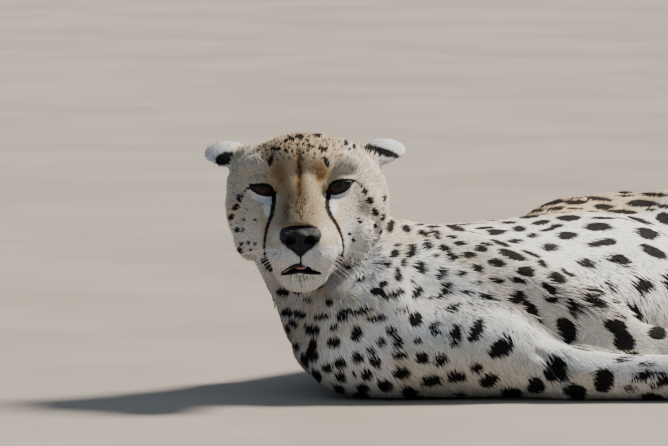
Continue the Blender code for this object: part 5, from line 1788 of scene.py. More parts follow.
        values["dusk"] = np.clip(np.max([
            near["head"] * ramp(2.4, 3.8, drawn) * ramp(6.0, 3.6, away) * 0.32, line * 0.5,
            front * blob(side, drawn, (0.0, -2.0), (1.5, 1.7)) * 0.42,
            front * blob(side, drawn, (0.0, -8.15), (1.1, 0.36)) * 0.62,
            front * blob(side, drawn, (0.0, -8.7), (0.35, 0.5)) * 0.35,
            front * whisker_row * blob(away, drawn, (2.1, -6.0), (0.9, 0.7)) * 0.5,
            near["head"] * 0.1 + near["head"] * 0.07 * ramp(2.0, -1.0, forward), near["ear"] * 0.17,
        ], axis=0), 0.0, 1.0)

    def ash(self, away: Array, drawn: Array, front: Array) -> Array:
        """Darkening: painted shade down the nose's bridge; darker above the eyes, greyer on head, neck and
        hips.
        """
        head, neck = self.skin.near["head"], self.skin.near["neck"]
        # Painted shade down the bridge of the nose, deepest below the eyes
        depth = 0.35 * ramp(3.5, 1.0, drawn) + 0.95 * ramp(1.2, -0.8, drawn)
        bridge = hill(away, 0.0, 2.2) * ramp(-5.0, -3.6, drawn) * depth
        eyes = blob(away, drawn, (3.6, 1.3), (1.9, 1.4)) * 0.45
        pale = 1.0 - blob(away, drawn, (6.0, -8.0), (3.5, 3.5))
        return np.clip(np.max([front * bridge, front * eyes, head * pale * 0.2, neck * pale * 0.18,
                               self.skin.near["trunk_hips"] * 0.15], axis=0), 0.0, 1.3)

    def face_cream(self, away: Array, drawn: Array, front: Array) -> Array:
        """The face's pale patches."""
        lids = np.zeros(len(away))
        for outward, high, level in self.skin.around_eyes(self.skin.surface.points):
            below = ramp(0.0012, -0.0008, high)
            lids = np.maximum(lids, below * ramp(0.0095, 0.0062, level) * ramp(0.019, 0.011, np.abs(outward)))
        strip = blob(away, drawn, (2.98, -1.75), (0.4, 0.85)) * 1.5
        muzzle = ramp(-4.6, -6.0, drawn) * ramp(4.4, 3.2, away) * 0.85
        above = blob(away, drawn, (4.1, 1.75), (1.5, 1.0)) * 0.55
        cheek = 0.42 * ramp(3.0, 4.2, away) + 0.45 * ramp(-2.0, -6.0, drawn) * ramp(2.6, 3.8, away)
        sides_of_nose = blob(away, drawn, (2.2, -4.4), (0.8, 1.2)) * 0.5
        chin = ramp(-7.3, -7.8, drawn)
        return front * np.clip(np.max([lids * 1.1, strip, muzzle, above, cheek, sides_of_nose, chin], axis=0),
                               0.0, 1.0)

    def growth(self) -> None:
        """Length, width, lift and thickness of the coat's growth."""
        skin, hair = self.skin, self.hair
        values, near, points = skin.surface.values, skin.near, skin.surface.points
        side, forward, drawn = skin.head.face_map(points)
        clear, short, close = np.ones(len(points)), hair["short"], forward > -0.035
        for _, _, level in skin.around_eyes(points):
            clear = np.minimum(clear, np.where(close, ramp(0.0006, 0.0014, level), 1.0))
            short = short * np.where(close, 0.45 + 0.55 * ramp(0.002, 0.014, level), 1.0)
        within = skin.mouth.inside(side, drawn)
        clear = np.minimum(clear, np.where(forward > 0.03, ramp(-0.0006, -0.0016, within), 1.0))
        nose = NOSE.level(side, drawn)
        clear = np.minimum(clear, np.where(forward > 0.04, ramp(-0.0012, 0.0004, nose), 1.0))
        short = short * np.where(forward > 0.04, 0.5 + 0.5 * ramp(0.001, 0.01, nose), 1.0)
        clear *= 1.0 - values["bare"]
        values["coat_density"] = clear * (0.25 + 0.75 * ramp(0.0022, 0.0045, points[:, 2]))
        values["coat_length"] = short
        values["coat_width"] = 0.00056 + short * 0.085
        values["coat_lift"] = (0.085 + 0.09 * near["head"] + 0.06 * near["ear"] + 0.03 * near["neck"]
                               + 0.03 * hair["long_share"])
        values["long_density"] = hair["long_share"] * clear
        values["long_length"] = hair["long"]


# ---------------------------------------------------------------- unwrapping the skin
@dataclass
class Unwrap:
    """Lays the skin out flat: polar about the nose for the head, and as tubes for the rest."""

    skin: Skin
    # group: left, bottom, width and height of its cell
    cells: dict = field(default_factory=lambda: {
        "head": (0.005, 0.615, 0.38, 0.38), "trunk": (0.005, 0.005, 0.59, 0.595),
        "foreleg_left": (0.61, 0.005, 0.185, 0.485), "foreleg_right": (0.805, 0.005, 0.185, 0.485),
        "hindleg_left": (0.61, 0.505, 0.185, 0.485), "hindleg_right": (0.805, 0.505, 0.185, 0.485),
        "tail": (0.4, 0.615, 0.095, 0.38), "ear_left": (0.505, 0.615, 0.095, 0.18),
        "ear_right": (0.505, 0.805, 0.095, 0.18)})

    def group_of(self, name: str) -> str:
        """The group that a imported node's skin is laid out with."""
        if name.startswith(("neck", "trunk")):
            return "trunk"
        return next(group for group in self.cells if name.startswith(group))

    def run(self) -> None:
        """Write the map on the skin's corners."""
        surface, region = self.skin.surface, self.skin.region
        groups = list(self.cells)
        of_node = np.array([groups.index(self.group_of(name)) for name in FLESH])
        of_face = of_node[region[surface.faces[:, 0]]]
        flat = np.zeros((len(surface.faces), 3, 2))
        for index, group in enumerate(groups):
            chosen = of_face == index
            if chosen.any():
                flat[chosen] = self.polar(chosen) if group == "head" else self.tube(chosen, group)
        surface.corner_map = flat

    def polar(self, chosen: Array) -> Array:
        """Way from the nose and turn about the head's length."""
        left, bottom, width, height = self.cells["head"]
        faces = self.skin.surface.faces[chosen]
        side, _, up = self.skin.head.coords(self.skin.surface.points).T
        turn = np.arctan2(up + 0.03, side)
        reach = self.skin.travel / self.skin.travel[faces].max() * 0.5
        return np.stack((left + width * (0.5 + reach * np.cos(turn))[faces],
                         bottom + height * (0.5 + reach * np.sin(turn))[faces]), axis=-1)

    def tube(self, chosen: Array, group: str) -> Array:
        """Way along the body and turn about its middle line."""
        left, bottom, width, height = self.cells[group]
        surface, travel = self.skin.surface, self.skin.travel
        faces = surface.faces[chosen]
        members = np.unique(faces)
        low, high = travel[members].min(), travel[members].max()
        stops = np.linspace(low, high, max(int((high - low) / 0.025), 4))
        bins = np.clip(np.digitize(travel[members], stops) - 1, 0, len(stops) - 2)
        count = np.maximum(np.bincount(bins, minlength=len(stops) - 1), 1)
        middle = np.stack([np.bincount(bins, surface.points[members, axis], len(stops) - 1) / count
                           for axis in range(3)], axis=1)
        centres = (stops[:-1] + stops[1:]) / 2
        axis = np.stack([np.interp(travel, centres, middle[:, k]) for k in range(3)], axis=1)
        ahead = unit(np.stack([np.interp(travel, centres, np.gradient(middle[:, k])) for k in range(3)],
                              axis=1))
        upward = unit(np.array((0.0, 0.0, 1.0)) - ahead * ahead[:, 2:3])
        beside = np.cross(ahead, upward)
        offset = surface.points - axis
        turn = (np.arctan2(dot(offset, beside), dot(offset, upward)) / FULL_TURN + 0.5)[faces]
        turn += (turn.max(axis=1, keepdims=True) - turn > 0.5)
        run = (travel[faces] - low) / (high - low)
        return np.stack((left + width * turn / 1.04, bottom + height * run), axis=-1)


# ---------------------------------------------------------------- tufts
@dataclass(frozen=True)
class Tuft:
    """A closed three-sided tuft of hair, 1 wide and 1 long before it is scaled."""

    name: str
    # along, half width, underside and ridge of each row
    rows: tuple
    tip: tuple[float, float] = (1.0, 0.0)

    def build(self) -> Object:
        """Make the tuft, with its share of the way to the tip and its own small map."""
        points, shares = [], []
        for along, half, under, ridge in self.rows:
            points += [(-half, along, under), (half, along, under), (0.0, along + 0.08, ridge)]
            shares += [along, along, along + 0.08]
        last = len(points)
        points.append((0.0, *self.tip))
        shares.append(1.0)
        faces = [(0, 1, 2)]
        for row in range(0, last, 3):
            for p, q in ((0, 1), (1, 2), (2, 0)):
                p0, q0 = row + p, row + q
                faces += [(p0, last, q0)] if row + 3 == last else [(p0, p0 + 3, q0 + 3), (p0, q0 + 3, q0)]
        made = new_mesh(self.name, points, faces, tip=shares)
        flat = made.uv_layers.new(name="patch")
        for loop in made.loops:
            x, y, _ = points[loop.vertex_index]
            flat.uv[loop.index].vector = (min(max(x + 0.5, 0.0), 1.0), min(max(y, 0.0), 1.0))
        made.shade_smooth()
        tuft = link(self.name, made)
        tuft.hide_render = True
        return tuft


class Hair(Enum):
    """The kinds of tuft."""

    SPIKE = Tuft("spike", ((0.0, 0.5, -0.016, 0.051),))
    LOCK = Tuft("lock", ((0.0, 0.42, -0.016, 0.045), (0.46, 0.4, 0.05, 0.09)), (1.0, 0.02))

    def triangles(self) -> int:
        """How many triangles one tuft has."""
        return 4 + 6 * (len(self.value.rows) - 1)


@dataclass(frozen=True)
class Growth:
    """How one piece of the coat grows: its kind of tuft, how many triangles it may take, and its values."""

    name: str
    triangles: int
    seed: int
    hair: Hair = Hair.SPIKE
    kind: str = "coat"
    spin: float = 0.22
    uneven: float = 0.35


class CoatTree:
    """The Geometry Nodes tree that plants tufts on a piece of skin."""

    sockets = {"Tuft": "Object", "Density": "Float", "Gap": "Float", "Seed": "Int", "Spin": "Float",
               "Uneven": "Float", "Patch": "Float", "Finish": "Material"}
    round_share = 0.62

    def __init__(self) -> None:
        """Build the tree once for every piece of the coat."""
        self.graph, self.identifiers, self.given = new_tree("plant_tufts", self.sockets)
        self.graph.add("NodeGroupOutput", {}, {"Geometry": self.finished(self.planted(self.rooted()))})

    def taken(self, name: str) -> Value:
        """One of the tree's inputs."""
        return Value(self.graph, self.given[name])

    def read(self, name: str, kind: str = "FLOAT") -> Value:
        """A value that the points carry."""
        return self.graph.value("GeometryNodeInputNamedAttribute", {"data_type": kind}, {"Name": name},
                                "Attribute")

    def vector(self, operation: str, inputs: dict) -> Value:
        """Add a Vector Math node."""
        return self.graph.value("ShaderNodeVectorMath", {"operation": operation}, inputs)

    def chance(self, low: Number, high: Number, seed: int) -> Value:
        """A random number for each point."""
        return self.graph.value("FunctionNodeRandomValue", {"data_type": "FLOAT"},
                                {"Min": low, "Max": high, "Seed": self.taken("Seed") + float(seed)}, "Value")

    def rooted(self) -> Value:
        """Scatter the roots and give each its tint."""
        graph = self.graph
        points = graph.value("GeometryNodeDistributePointsOnFaces", {"distribute_method": "POISSON"},
                             {"Mesh": self.taken("Geometry"), "Distance Min": self.taken("Gap"),
                              "Density Max": self.taken("Density"), "Density Factor": self.read("density"),
                              "Seed": self.taken("Seed")}, "Points")
        return graph.value("GeometryNodeStoreNamedAttribute", {"data_type": "FLOAT", "domain": "POINT"},
                           {"Geometry": points, "Name": "tint", "Value": self.chance(0.0, 1.0, 11)},
                           "Geometry")

    def planted(self, points: Value) -> Value:
        """Set a tuft on each root, laid along the coat and lifted a little."""
        graph = self.graph
        lie, rise = self.read("lie", "FLOAT_VECTOR"), self.read("rise", "FLOAT_VECTOR")
        spin = self.chance(-1.0, 1.0, 23) * self.taken("Spin")
        turned = graph.value("ShaderNodeVectorRotate", {"rotation_type": "AXIS_ANGLE"},
                             {"Vector": lie, "Axis": rise, "Angle": spin}, "Vector")
        flat = graph.value("FunctionNodeAxesToRotation", {"primary_axis": "Z", "secondary_axis": "Y"},
                           {"Primary Axis": rise, "Secondary Axis": turned}, "Rotation")
        lift = graph.value("ShaderNodeCombineXYZ", {}, {0: self.read("lift") * self.chance(0.45, 1.55, 37),
                                                         1: self.chance(-0.25, 0.25, 41)})
        turn = graph.value("FunctionNodeRotateRotation", {"rotation_space": "LOCAL"},
                           {"Rotation": flat, "Rotate By": lift}, "Rotation")
        uneven = self.taken("Uneven")
        long = self.read("length") * self.chance(1.0 - uneven, 1.0 + uneven * 0.6, 53)
        wide = self.read("width") * self.chance(0.75, 1.25, 61)
        size = graph.value("ShaderNodeCombineXYZ", {}, {0: wide, 1: long, 2: long})
        tuft = graph.value("GeometryNodeObjectInfo", {}, {"Object": self.taken("Tuft")}, "Geometry")
        return graph.value("GeometryNodeInstanceOnPoints", {},
                           {"Points": points, "Instance": tuft, "Rotation": turn, "Scale": size}, "Instances")

    def finished(self, tufts: Value) -> Value:
        """Make the tufts one mesh, shade them with the body's form and lay them on the map."""
        graph = self.graph
        mesh = graph.value("GeometryNodeRealizeInstances", {}, {"Geometry": tufts}, "Geometry")
        own = graph.value("GeometryNodeInputNormal", {}, {}, "Normal")
        shaded = graph.value("ShaderNodeMix", {"data_type": "VECTOR"},
                             {"Factor_Float": self.round_share, "A_Vector": own,
                              "B_Vector": self.read("rise", "FLOAT_VECTOR")}, "Result_Vector")
        shaded = self.vector("NORMALIZE", {0: shaded})
        mesh = graph.value("GeometryNodeSetMeshNormal", {"mode": "FREE", "domain": "POINT"},
                           {"Mesh": mesh, "Custom Normal": shaded}, "Mesh")
        patch = self.vector("SUBTRACT", {0: self.read("patch", "FLOAT_VECTOR"), 1: (0.5, 0.5, 0.0)})
        patch = self.vector("SCALE", {0: patch, "Scale": self.taken("Patch")})
        place = self.vector("ADD", {0: self.read("unwrap", "FLOAT_VECTOR"), 1: patch})
        mesh = graph.value("GeometryNodeStoreNamedAttribute", {"data_type": "FLOAT2", "domain": "CORNER"},
                           {"Geometry": mesh, "Name": BAKE_MAP, "Value": place}, "Geometry")
        return graph.value("GeometryNodeSetMaterial", {},
                           {"Geometry": mesh, "Material": self.taken("Finish")}, "Geometry")


@dataclass
class Coat:
    """The whole coat, planted piece by piece on the skin."""

    skin: Skin
    marks: Markings
    finish: Material
    # roots tried for each that is wanted, and the least gap between two as a share of their spacing
    fill: float = 1.9
    gap: float = 0.66
    patch: float = 0.003
    long_width: float = 0.0013
    long_lift: float = 0.17
    # how far along a tuft its marks are read
    shown_share: float = 0.5
    helpers: tuple[str, ...] = ("unwrap", "density", "length", "width", "lift", "lie", "rise", "patch")

    def growths(self) -> list[tuple[Growth, Array]]:
        """Each piece of the coat with the faces of skin that it grows on."""
        skin, surface = self.skin, self.skin.surface
        named = np.array(FLESH)[skin.region[surface.faces[:, 0]]]
        starts = partial(np.char.startswith, named)
        forward = skin.head.coords(surface.points)[surface.faces].mean(axis=1)[:, 1]
        face = (named == "head") & (forward > -0.048)
        long = surface.values["long_density"][surface.faces].max(axis=1) > 0.02
        chest = named == "trunk_chest"
        ahead = surface.points[surface.faces].mean(axis=1)[:, :2] @ RUMP_WARD < -0.462
        return [
            (Growth("coat_face", 185000, 101), face),
            (Growth("coat_crown_and_ears", 95000, 102), (starts("ear") | (named == "head")) & ~face),
            (Growth("coat_neck", 90000, 103), named == "neck"),
            (Growth("coat_shoulder", 185000, 104), chest & ahead),
            (Growth("coat_ribs", 185000, 110), chest & ~ahead),
            (Growth("coat_belly", 160000, 105), named == "trunk_belly"),
            (Growth("coat_hips", 120000, 111), named == "trunk_hips"),
            (Growth("coat_foreleg_left", 120000, 106), starts("foreleg_left")),
            (Growth("coat_foreleg_right", 120000, 112), starts("foreleg_right")),
            (Growth("coat_hindlegs", 150000, 107), starts("hindleg")),
            (Growth("coat_tail", 60000, 108), starts("tail")),
            (Growth("coat_long", 170000, 109, Hair.LOCK, "long", 0.35, 0.45), long)]

    def emitter(self, growth: Growth, chosen: Array) -> Surface:
        """The piece of skin that a growth is planted on, with the values that the tree reads."""
        part = self.skin.surface.part(chosen).split()
        values = part.values
        ahead = values["lie"] * values[f"{growth.kind}_length"][:, None] * self.shown_share
        values["spot"] = self.marks.value(Surface(part.points + ahead, part.faces, values, part.corner_map))
        if growth.kind == "long":
            values["spot"] = np.where(values["at_head"] > 0.2, -1.0, values["spot"])
            values["width"] = np.full(len(part.points), self.long_width)
            values["lift"] = np.full(len(part.points), self.long_lift)
        else:
            values["width"], values["lift"] = values["coat_width"], values["coat_lift"]
        values["density"] = values[f"{growth.kind}_density"]
        values["length"] = values[f"{growth.kind}_length"]
        part.values = {name: value for name, value in values.items() if name in (*TONES, *self.helpers)}
        return part

    def plant(self, tree: CoatTree, growth: Growth, chosen: Array) -> Object:
        """Grow one piece of the coat.

        Args:
            tree: the planting tree.
            growth: what grows.
            chosen: the faces of skin that it grows on.

        Returns:
            The finished piece.
        """
        part = self.emitter(growth, chosen)
        helper = link(growth.name + "_roots", part.mesh(growth.name + "_roots", "unwrap"))
        area = np.linalg.norm(part.face_normals(), axis=1) / 2
        covered = float((area * part.values["density"][part.faces].mean(axis=1)).sum())
        density = growth.triangles / growth.hair.triangles() / covered
        tuft = growth.hair.value.build()
        given = {"Tuft": tuft, "Density": density * self.fill, "Gap": self.gap / math.sqrt(density),
                 "Seed": growth.seed, "Spin": growth.spin, "Uneven": growth.uneven, "Patch": self.patch,
                 "Finish": self.finish}
        made = run_tree(helper, tree.graph, tree.identifiers, given, growth.name)
        drop(tuft)
        places = point_places(made)
        places[:, 2] = np.maximum(places[:, 2], FLOOR_GAP)
        made.vertices.foreach_set("co", places.ravel())
        strip(made, self.helpers)
        LOG.info("%s: %.3f square metres, %.1f tufts to the square centimetre", growth.name, area.sum(),
                 density / 10000)
        return link(growth.name, made)

    def run(self) -> None:
        """Grow and keep every piece."""
        tree = CoatTree()
        for growth, chosen in self.growths():
            keep(self.plant(tree, growth, chosen), self.finish, "coat")


# ---------------------------------------------------------------- tubes along drawn lines
@dataclass
class Lines:
    """Drawn lines with their thickness, turned into closed tubes."""

    points: list[Vector] = field(default_factory=list)
    edges: list[tuple[int, int]] = field(default_factory=list)
    thick: list[float] = field(default_factory=list)

    def draw(self, points: Sequence[Vector], thick: Sequence[float], closed: bool = False) -> None:
        """Add one line.

        Args:
            points: its points in order.
            thick: the tube's radius at each point.
            closed: whether its end joins its start.
        """
        first = len(self.points)
        self.points += [Vector(point) for point in points]
        self.thick += list(thick)
        self.edges += [(first + index, first + index + 1) for index in range(len(points) - 1)]
        if closed:
            self.edges.append((len(self.points) - 1, first))

    @staticmethod
    def tree() -> tuple[Graph, dict[str, str]]:
        """The tree that sweeps a round profile along the lines, and its inputs' identifiers."""
        graph, identifiers, given = new_tree("sweep_tubes", {"Sides": "Int", "Finish": "Material"})
        curve = graph.value("GeometryNodeMeshToCurve", {}, {"Mesh": given["Geometry"]}, "Curve")
        width = graph.value("GeometryNodeInputNamedAttribute", {"data_type": "FLOAT"}, {"Name": "thick"},
                            "Attribute")
        curve = graph.value("GeometryNodeSetCurveRadius", {}, {"Curve": curve, "Radius": width}, "Curve")
        ring = graph.value("GeometryNodeCurvePrimitiveCircle", {"mode": "RADIUS"},
                           {"Resolution": given["Sides"], "Radius": 1.0}, "Curve")
        mesh = graph.value("GeometryNodeCurveToMesh", {},
                           {"Curve": curve, "Profile Curve": ring, "Scale": width, "Fill Caps": True}, "Mesh")
        mesh = graph.value("GeometryNodeRealizeInstances", {}, {"Geometry": mesh}, "Geometry")
        mesh = graph.value("GeometryNodeSetMaterial", {}, {"Geometry": mesh, "Material": given["Finish"]},
                           "Geometry")
        graph.add("NodeGroupOutput", {}, {"Geometry": mesh})
        return graph, identifiers

    def build(self, name: str, finish: Material, sides: int) -> Object:
        """Sweep the lines into one object."""
        points = [tuple(point) for point in self.points]
        drawn = link(name + "_lines", new_mesh(name + "_lines", points, [], self.edges, thick=self.thick))
        made = run_tree(drawn, *self.tree(), {"Sides": sides, "Finish": finish}, name)
        face_outwards(made)
        strip(made, ("thick", "sharp_edge", "sharp_face"))
        return link(name, made)


# ---------------------------------------------------------------- eyes
@dataclass
class Eyes:
    """Two wet eyeballs with a raised cornea, and the dark rims of their lids."""

    head: HeadFrame
    openings: dict[float, Opening]
    radius: float = EYE_RADIUS
    cornea: float = 0.0106
    bulge: float = 0.001
    rings: int = 72
    segments: int = 96
    gaze: Place = (0.0, -math.cos(FACE_RISE), math.sin(FACE_RISE))

    def ball(self, way: float) -> Object:
        """One eyeball, with its distance from the gaze and its turn about it kept at each point."""
        centre = np.array(self.head.at(way * EYE_SPREAD, -EYE_SET_BACK, 0.0))
        ahead = unit(np.array(self.gaze))
        beside = unit(np.cross(ahead, np.array((0.0, 0.0, 1.0))))
        above = np.cross(beside, ahead)
        points, away, ray = [centre + ahead * (self.radius + self.bulge)], [0.0], [0.0]
        for ring in range(1, self.rings):
            angle = math.pi * (ring / self.rings) ** 1.35
            from_axis = self.radius * math.sin(angle)
            raised = max(1.0 - (from_axis / self.cornea) ** 2, 0.0) if angle < math.pi / 2 else 0.0
            reach = self.radius + self.bulge * raised ** 0.8
            for step in range(self.segments):
                turn = FULL_TURN * step / self.segments
                beam = beside * math.cos(turn) + above * math.sin(turn)
                points.append(centre + ahead * math.cos(angle) * reach + beam * math.sin(angle) * reach)
                away.append(from_axis if angle < math.pi / 2 else self.radius)
                ray.append(abs(math.sin(turn / 2)))
        points.append(centre - ahead * self.radius)
        away.append(self.radius)
        ray.append(0.0)
        last, count = len(points) - 1, self.segments
        faces = []
        for step in range(count):
            after = (step + 1) % count
            faces.append((0, 1 + step, 1 + after))
            for ring in range(self.rings - 2):
                near, far = 1 + ring * count, 1 + (ring + 1) * count
                faces.append((near + step, far + step, far + after, near + after))
            end = 1 + (self.rings - 2) * count
            faces.append((end + step, last, end + after))
        name = "eyeball_left" if way > 0 else "eyeball_right"
        made = new_mesh(name, [tuple(point) for point in points], faces, away=away, ray=ray)
        face_outwards(made)
        return link(name, made)

    def rims(self, finish: Material) -> Object:
        """The dark edges of the lids, thickest towards the nose."""
        lines = Lines()
        for way in BOTH:
            points, thick = [], []
            opening = self.openings[way]
            for outward, up in opening.edge(72):
                forward = float(opening.front(np.array(outward), np.array(up), 0.0005)) - EYE_SET_BACK
                points.append(self.head.at(way * (EYE_SPREAD + outward), forward, up))
                inner = max(-outward / opening.half_length, 0.0)
                thick.append(0.0011 + 0.00035 * inner ** 2)
            lines.draw(points, thick, True)
        return lines.build("eye_rims", finish, sides=10)

    def run(self, eye: Material, rim: Material) -> None:
        """Make and keep eyeballs and rims."""
        for way, side in ((-1.0, "right"), (1.0, "left")):
            keep(self.ball(way), eye, "eye", f"eye_{side}")
        keep(self.rims(rim), rim, "nose_leather")


# ---------------------------------------------------------------- nose, lips and tongue
@dataclass
class NosePad:
    """The bare nose: a broad wedge that narrows to the lip, with its two nostrils."""

    head: HeadFrame
    voxel: float = 0.0006
    # place on the face's map from the top down, half width, front and half depth
    sections: tuple = (
        (-0.0335, 0.008, 0.06, 0.0035), (-0.036, 0.0148, 0.064, 0.006), (-0.04, 0.0182, 0.069, 0.0085),
        (-0.045, 0.0186, 0.0715, 0.0098), (-0.05, 0.0164, 0.0722, 0.0098), (-0.0545, 0.0116, 0.0718, 0.009),
        (-0.0585, 0.006, 0.07, 0.0075), (-0.062, 0.0026, 0.068, 0.006), (-0.0645, 0.0012, 0.066, 0.0045))

    def build(self) -> Object:
        """Fuse the wedge and hollow its nostrils."""
        side, forward, _ = self.head.vectors()
        clay = Clay()
        rings = []
        for drawn, half, front, depth in curved_rows(self.sections, steps=4):
            middle = self.head.at(0.0, front - depth, self.head.lifted(front, drawn))
            rings.append(oval(middle, side, forward, (half, depth), count=40, square=0.85))
        clay.stack(rings)
        for way in BOTH:
            clay.ball(self.head.at(way * 0.0118, 0.063, -0.04), (0.007, 0.0072, 0.0064), self.head.vectors())
        clay.ball(self.head.at(0.0, 0.066, -0.0385), (0.0085, 0.0075, 0.006), self.head.vectors())
        surface = Surface.of(fused(clay.mesh(), self.voxel, rounds=6))
        surface.points = self.carved(surface.points)
        surface.points = surface.soften(surface.points, rounds=1, share=0.3)
        return link("nose_pad", surface.mesh("nose_pad"))

    def carved(self, points: Array) -> Array:
        """Push in nostrils, their outer slits and the groove between them."""
        side, forward, up = self.head.coords(points).T
        drawn = self.head.drawn(forward, up)
        away = np.abs(side)
        hole = from_line(away, drawn, ((0.0066, -0.0492, 0.0022), (0.0092, -0.0484, 0.003),
                                       (0.0118, -0.05, 0.0022), (0.0148, -0.0515, 0.001)))
        hole = ramp(-0.0008, 0.001, hole) * (forward > 0.05)
        groove = hill(side, 0.0, 0.0007) * ramp(-0.0445, -0.05, drawn)
        rim = hill(away, 0.0105, 0.0045) * hill(drawn, -0.044, 0.0022)
        forward = forward - hole * 0.0085 - groove * 0.0011 + rim * 0.0006
        return self.head.world(np.stack((side + np.sign(side) * hole * -0.001, forward, up + hole * 0.0015),
                                        axis=1))


@dataclass
class Lips:
    """The dark edges of the parted lips and the tongue between them."""

    skin: Skin
    steps: int = 30

    def on_skin(self, tree: BVHTree, side: float, drawn: float, proud: float) -> Vector:
        """A point on the skin at a place on the face's map."""
        head = self.skin.head
        start = head.at(side, 0.16, head.lifted(0.16, drawn))
        back = Vector((0.0, math.cos(FACE_RISE), -math.sin(FACE_RISE)))
        hit = tree.ray_cast(start, back)[0]
        return (hit or head.at(side, 0.05, head.lifted(0.05, drawn))) - back * proud

    def edges(self, finish: Material) -> Object:
        """Tubes along both lips."""
        tree, mouth = self.skin.surface.tree(), self.skin.mouth
        lines = Lines()
        sides = np.linspace(-mouth.half_width * 1.06, mouth.half_width * 1.06, self.steps)
        for heights, out in ((mouth.upper(sides) + 0.0006, 1.0), (mouth.lower(sides) - 0.0006, 0.8)):
            places = np.array([self.on_skin(tree, float(side), float(high), -0.0002)
                               for side, high in zip(sides, heights)])
            for _ in range(3):
                places[1:-1] = (places[:-2] + 2 * places[1:-1] + places[2:]) / 4
            taper = np.sqrt(np.clip(1.0 - (np.abs(sides) / (mouth.half_width * 1.1)) ** 2, 0.02, 1.0))
            lines.draw([Vector(place) for place in places], (0.0015 * out * taper).tolist())
        return lines.build("lips", finish, sides=10)

    def tongue(self) -> Object:
        """The tongue's tip with its groove."""
        clay = Clay()
        head = self.skin.head
        middle = head.lifted(0.051, -0.0722)
        clay.ball(head.at(0.0, 0.051, middle), (0.0066, 0.0165, 0.003), head.vectors(), segments=48)
        surface = Surface.of(clay.mesh())
        side, forward, up = head.coords(surface.points).T
        up = up - hill(side, 0.0, 0.002) * (up > middle) * 0.0012
        surface.points = head.world(np.stack((side, forward, up), axis=1))
        return link("tongue_tip", surface.mesh("tongue_tip"))


# ---------------------------------------------------------------- whiskers and claws
@dataclass
class Whiskers:
    """Rows of whiskers on the lips and a few above the eyes."""

    lips: Lips
    rows: tuple = ((-0.056, (0.015, 0.0195, 0.024)), (-0.06, (0.013, 0.0175, 0.022, 0.0262)),
                   (-0.064, (0.014, 0.019, 0.0235)))
    brows: tuple = ((0.0275, 0.0215), (0.0305, 0.0232), (0.0335, 0.0222))
    radius: float = 0.00015
    steps: int = 12
    seed: int = 31

    def build(self, finish: Material) -> Object:
        """Draw every whisker and sweep it."""
        head, tree = self.lips.skin.head, self.lips.skin.surface.tree()
        rng = np.random.default_rng(self.seed)
        lines = Lines()
        for way in BOTH:
            for row, (drawn, sides) in enumerate(self.rows):
                for place, away in enumerate(sides):
                    root = self.lips.on_skin(tree, way * away, drawn, -0.001)
                    length = 0.044 + 0.009 * place + rng.uniform(-0.005, 0.005)
                    start = (way * (0.82 + rng.uniform(-0.05, 0.05)), 0.35 - 0.12 * place, 0.02 - 0.24 * row)
                    self.sweep(lines, head, root, start, length, rng.uniform(0.45, 0.75))
            for away, drawn in self.brows:
                root = self.lips.on_skin(tree, way * away, drawn, -0.0008)
                start = (way * (0.45 + rng.uniform(-0.1, 0.1)), 0.4, 0.8)
                self.sweep(lines, head, root, start, 0.026 + rng.uniform(-0.004, 0.004), 0.35)
        return lines.build("whiskers", finish, sides=6)

    def sweep(self, lines: Lines, head: HeadFrame, root: Vector, start: Place, length: float,
              droop: float) -> None:
        """Draw one whisker that bends back and down under its weight.

        Args:
            lines: the lines that it joins.
            head: the head's frame.
            root: where it leaves the skin.
            start: the way it sets out, as side, forward and up.
            length: its length.
            droop: how far it bends.
        """
        side, forward, up = head.vectors()
        way = (side * start[0] + forward * start[1] + up * start[2]).normalized()
        points, thick = [root], [self.radius]
        for step in range(1, self.steps + 1):
            way = (way - up * droop * 0.06 - forward * droop * 0.05).normalized()
            points.append(points[-1] + way * length / self.steps)
            thick.append(self.radius * (1.0 - 0.88 * (step / self.steps) ** 1.4))
        lines.draw(points, thick)


@dataclass
class Claws:
    """Blunt curved claws, which a cheetah cannot draw in."""

    length: float = 0.015
    radius: float = 0.0025
    steps: int = 8

    def build(self, finish: Material) -> Object:
        """Draw a claw on every toe and sweep it."""
        lines = Lines()
        for foot in FEET:
            _, forward, back = foot.axes()
            for middle, _ in foot.toes():
                root = middle + forward * foot.length * 0.185 + back * foot.half_thick * 0.3
                points, thick = [], []
                for step in range(self.steps + 1):
                    share = step / self.steps
                    points.append(root + forward * self.length * share
                                  - back * self.length * 0.55 * share ** 1.8)
                    thick.append(self.radius * (1.0 - 0.9 * share ** 1.3))
                lines.draw(points, thick)
        return lines.build("claws", finish, sides=12)


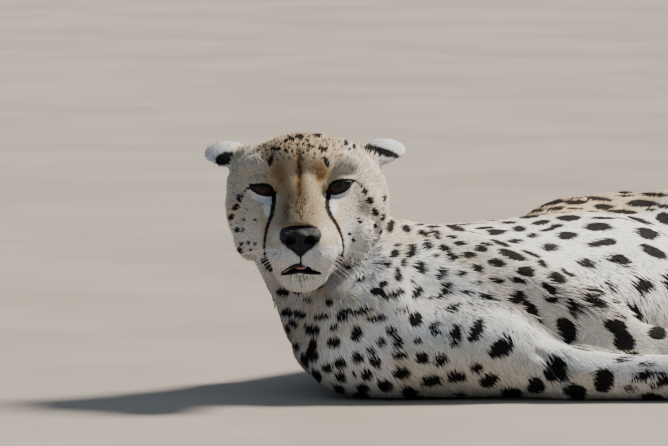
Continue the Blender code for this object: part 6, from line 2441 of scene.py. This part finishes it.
# ---------------------------------------------------------------- the studio
@dataclass
class Studio:
    """A pale floor, soft lamps and the camera."""

    view: FrontView = field(default_factory=FrontView)
    floor: tuple = rgb(160, 150, 138)
    floor_dark: tuple = rgb(148, 138, 126)
    floor_reach: float = 30.0
    sun_from: tuple = (0.66, 0.3, 0.69)
    sun_power: float = 9.6
    sun_spread: float = math.radians(14.0)
    sun_colour: tuple = (1.0, 0.93, 0.82)
    # place, size, power and colour of each soft lamp
    lamps: tuple = (
        ((-1.6, -4.0, 2.6), 3.4, 20.0, (0.62, 0.82, 1.0)), ((2.6, -3.2, 1.8), 3.0, 10.0, (0.74, 0.88, 1.0)))
    sky: tuple = (0.6, 0.76, 1.0, 1.0)
    sky_strength: float = 0.38
    sensor: float = 36.0

    def build(self) -> None:
        """Set up floor, lamps, world and camera."""
        self.lay_floor()
        target = Vector(self.view.target)
        sun = bpy.data.lights.new("sun", "SUN")
        sun.energy, sun.angle, sun.color = self.sun_power, self.sun_spread, self.sun_colour
        self.hang(sun, target + Vector(self.sun_from) * 4.0)
        for number, (place, size, power, colour) in enumerate(self.lamps):
            lamp = bpy.data.lights.new(f"lamp_{number}", "AREA")
            lamp.size, lamp.energy, lamp.color = size, power, colour
            self.hang(lamp, Vector(place))
        world = bpy.data.worlds.new("sky")
        bpy.context.scene.world = world
        world.use_nodes = True
        background = next(node for node in world.node_tree.nodes if node.type == "BACKGROUND")
        background.inputs["Color"].default_value = self.sky
        background.inputs["Strength"].default_value = self.sky_strength
        lens = bpy.data.cameras.new("camera")
        lens.sensor_width = self.sensor
        lens.lens = self.sensor * self.view.distance / self.view.width
        lens.clip_end = 100.0
        bpy.context.scene.camera = self.hang(lens, Vector(self.view.eye()))

    def hang(self, data: bpy.types.ID, place: Vector) -> Object:
        """Place a lamp or the camera so that it looks at the face."""
        holder = bpy.data.objects.new(data.name, data)
        holder.location = place
        holder.rotation_euler = (Vector(self.view.target) - place).to_track_quat("-Z", "Y").to_euler()
        bpy.context.scene.collection.objects.link(holder)
        return holder

    def lay_floor(self) -> None:
        """Lay a broad pale floor."""
        far = self.floor_reach
        corners = [(-far, -far, 0), (far, -far, 0), (far, far, 0), (-far, far, 0)]
        floor = link("floor", new_mesh("floor", corners, [(0, 1, 2, 3)]))
        finish = PlainFinish("floor", self.floor, self.floor_dark, grain=3.0, depth=0.0005, roughness=0.8,
                             specular=0.2)
        floor.data.materials.append(finish.build())


def main() -> None:
    """Build the cheetah."""
    logging.basicConfig(level=logging.INFO, format="%(relativeCreated)6.0f %(message)s")
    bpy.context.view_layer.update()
    Studio().build()
    skin = Skin(HeadFrame.of_eyes()).build()
    LOG.info("skin: %d points", len(skin.surface.points))
    marks = Markings(skin)
    Pelt(skin, marks).run()
    Unwrap(skin).run()
    dressed = Surface(skin.surface.points, skin.surface.faces,
                      {name: skin.surface.values[name] for name in TONES}, skin.surface.corner_map)
    keep(link("skin", dressed.mesh("skin")), CoatFinish("coat_skin", False).build(), "coat", *FLESH)
    Coat(skin, marks, CoatFinish().build()).run()
    bare = BARE_SKIN.build()
    Eyes(skin.head, skin.openings).run(EyeFinish().build(), bare)
    keep(NosePad(skin.head).build(), NoseFinish().build(), "nose_leather", "nose")
    lips = Lips(skin)
    keep(lips.edges(bare), bare, "nose_leather")
    keep(lips.tongue(), TONGUE_SKIN.build(), "tongue", "tongue")
    pale = WHISKER_HAIR.build()
    keep(Whiskers(lips).build(pale), pale, "coat")
    horn = CLAW_HORN.build()
    keep(Claws().build(horn), horn, "nose_leather")


if __name__ == "__main__":
    main()
